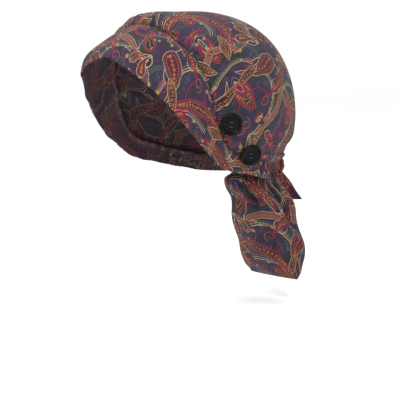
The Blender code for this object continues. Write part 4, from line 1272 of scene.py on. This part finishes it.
def sew(name, lines, nodeTree, thread):
    vertices = np.concatenate(lines)
    edges, start = [], 0
    for line in lines:
        edges += [(start + i, start + i + 1) for i in range(len(line) - 1)]
        start += len(line)
    path = bpy.data.meshes.new(name + "Line")
    path.from_pydata(vertices.tolist(), edges, [])
    drawn = addObject(name + "Line", path)
    sizes = {"Spacing": stitch["spacing"], "Length": stitch["length"], "Thickness": stitch["thick"],
             "Lean": stitch["lean"], "Seed": stitch["seed"], "Thread": thread}
    row = drawn.modifiers.new("stitches", "NODES")
    row.node_group = nodeTree
    for item in nodeTree.interface.items_tree:
        if item.in_out == "INPUT" and item.name in sizes:
            row[item.identifier] = sizes[item.name]
    bpy.context.view_layer.update()
    mesh = bpy.data.meshes.new_from_object(drawn.evaluated_get(bpy.context.evaluated_depsgraph_get()))
    bpy.data.objects.remove(drawn, do_unlink=True)
    mesh.name = name
    mesh.shade_smooth()
    return addObject(name, mesh)


def lineOn(grid, normals, walked, distance, step):
    # points at one distance along each column of a cloth grid, just proud of the cloth
    points = []
    for column in range(0, grid.shape[1], step):
        at = distance[column]
        place = [np.interp(at, walked[:, column], grid[:, column, axis]) for axis in range(3)]
        out = [np.interp(at, walked[:, column], normals[:, column, axis]) for axis in range(3)]
        points.append(np.array(place) + np.array(out) * stitch["proud"])
    return np.array(points)


print("stitches")
bandNormals = gridNormals(bandGrid, False)
everywhere = np.ones(bandGrid.shape[1])
bandLines = [lineOn(bandGrid, bandNormals, climbs, stitch["hemIn"] * everywhere, 3),
             lineOn(bandGrid, bandNormals, climbs, climbs[-1] - stitch["seamIn"], 3)]
pouchNormals = gridNormals(pouchGrid, True)
pouchDepth = pouchDrop * pouch["length"]
pouchLine = lineOn(pouchGrid, pouchNormals, pouchDepth,
                   (pouch["length"] - stitch["bottomIn"]) * np.ones(pouch["columns"]), 2)
pouchLines = [np.concatenate([pouchLine, pouchLine[:1]])]
stitchRow = stitchNodes()
for name, lines, slot in (("bandStitches", bandLines, "band_print"),
                          ("pouchStitches", pouchLines, "pouch_print"),
                          ("tieStitches", tieLines, "tie_print")):
    sewn = sew(name, lines, stitchRow, hemThread)
    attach(sewn, "root")

for piece, finish, nodes, slot in (
        (frontBand, bandCotton, ("front_band",), "band_print"),
        (crownPiece, crownCotton, ("crown",), "crown_print"),
        (ponytailPouch, pouchCotton, ("ponytail_pouch",), "pouch_print"),
        (tieWrap, tieCotton, ("tie_wrap",), "tie_print"),
        (tieKnot, tieCotton, ("tie_knot",), "tie_print"),
        (tieEndLeft, tieCotton, ("tie_end_left",), "tie_print"),
        (tieEndRight, tieCotton, ("tie_end_right",), "tie_print")):
    if "sides" in piece:
        piece.data.materials[0], piece.data.materials[1] = finish, reverses[piece.name]
    else:
        piece.data.materials.append(finish)
    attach(piece, "root")
    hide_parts(*nodes)
for (label, side), made, twine in zip([(row[0], side) for row in buttonRows for side in (1, -1)], buttons,
                                      threads):
    made.data.materials.clear()
    made.data.materials.append(buttonPolish)
    twine.data.materials.append(buttonTwine)
    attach(made, "root")
    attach(twine, "root")
    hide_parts(f"button_{label}_{'left' if side > 0 else 'right'}")

for shank in shanks:
    shank.data.materials.append(buttonTwine)
    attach(shank, "root")

# Floor, lights and camera
studio = {"floorDrop": 0.205, "floorSize": 6.0, "azimuth": 55.0, "elevation": 3.5, "distance": 2.0,
          "lens": 180.0,
          "sensor": 36.0, "aimRight": 0.020, "aimDown": 0.0934}


def lamp(name, azimuth, elevation, distance, width, power, colour=(1.0, 1.0, 1.0)):
    light = bpy.data.lights.new(name, "AREA")
    light.shape, light.size, light.energy, light.color = "DISK", width, power, colour
    made = addObject(name, light)
    away = Vector(direction(azimuth, elevation))
    made.location = away * distance
    made.rotation_euler = away.to_track_quat("Z", "Y").to_euler()


print("studio")
bpy.ops.mesh.primitive_plane_add(size=studio["floorSize"], location=(0, 0, -studio["floorDrop"]))
floor = bpy.context.object
floor.name = "paleFloor"
palePaper = wanderingFinish("palePaper", (0.96, 0.96, 0.96, 1.0), (0.98, 0.98, 0.98, 1.0), 0.85, 0.95,
                            3.0, 0.0)
floor.data.materials.append(palePaper)
world = bpy.data.worlds.new("softRoom")
bpy.context.scene.world = world
world.use_nodes = True
world.node_tree.nodes["Background"].inputs["Color"].default_value = (1.0, 1.0, 1.0, 1.0)
world.node_tree.nodes["Background"].inputs["Strength"].default_value = 1.0
lamp("keyLight", 20, 48, 1.6, 0.7, 17.0)
lamp("sparkLight", 70, 24, 1.8, 0.09, 9.0)
lamp("backLight", 215, 50, 1.8, 1.0, 5.0)
bpy.context.scene.view_settings.view_transform = "Standard"

azimuth = math.radians(studio["azimuth"])
back = Vector(direction(studio["azimuth"], studio["elevation"]))
right = Vector((math.cos(azimuth), math.sin(azimuth), 0.0))
above = back.cross(right)
lens = bpy.data.cameras.new("photoCamera")
lens.lens, lens.sensor_width = studio["lens"], studio["sensor"]
camera = addObject("photoCamera", lens)
camera.location = back * studio["distance"]
aim = right * studio["aimRight"] - above * studio["aimDown"]
camera.rotation_euler = (camera.location - aim).to_track_quat("Z", "Y").to_euler()
bpy.context.scene.camera = camera
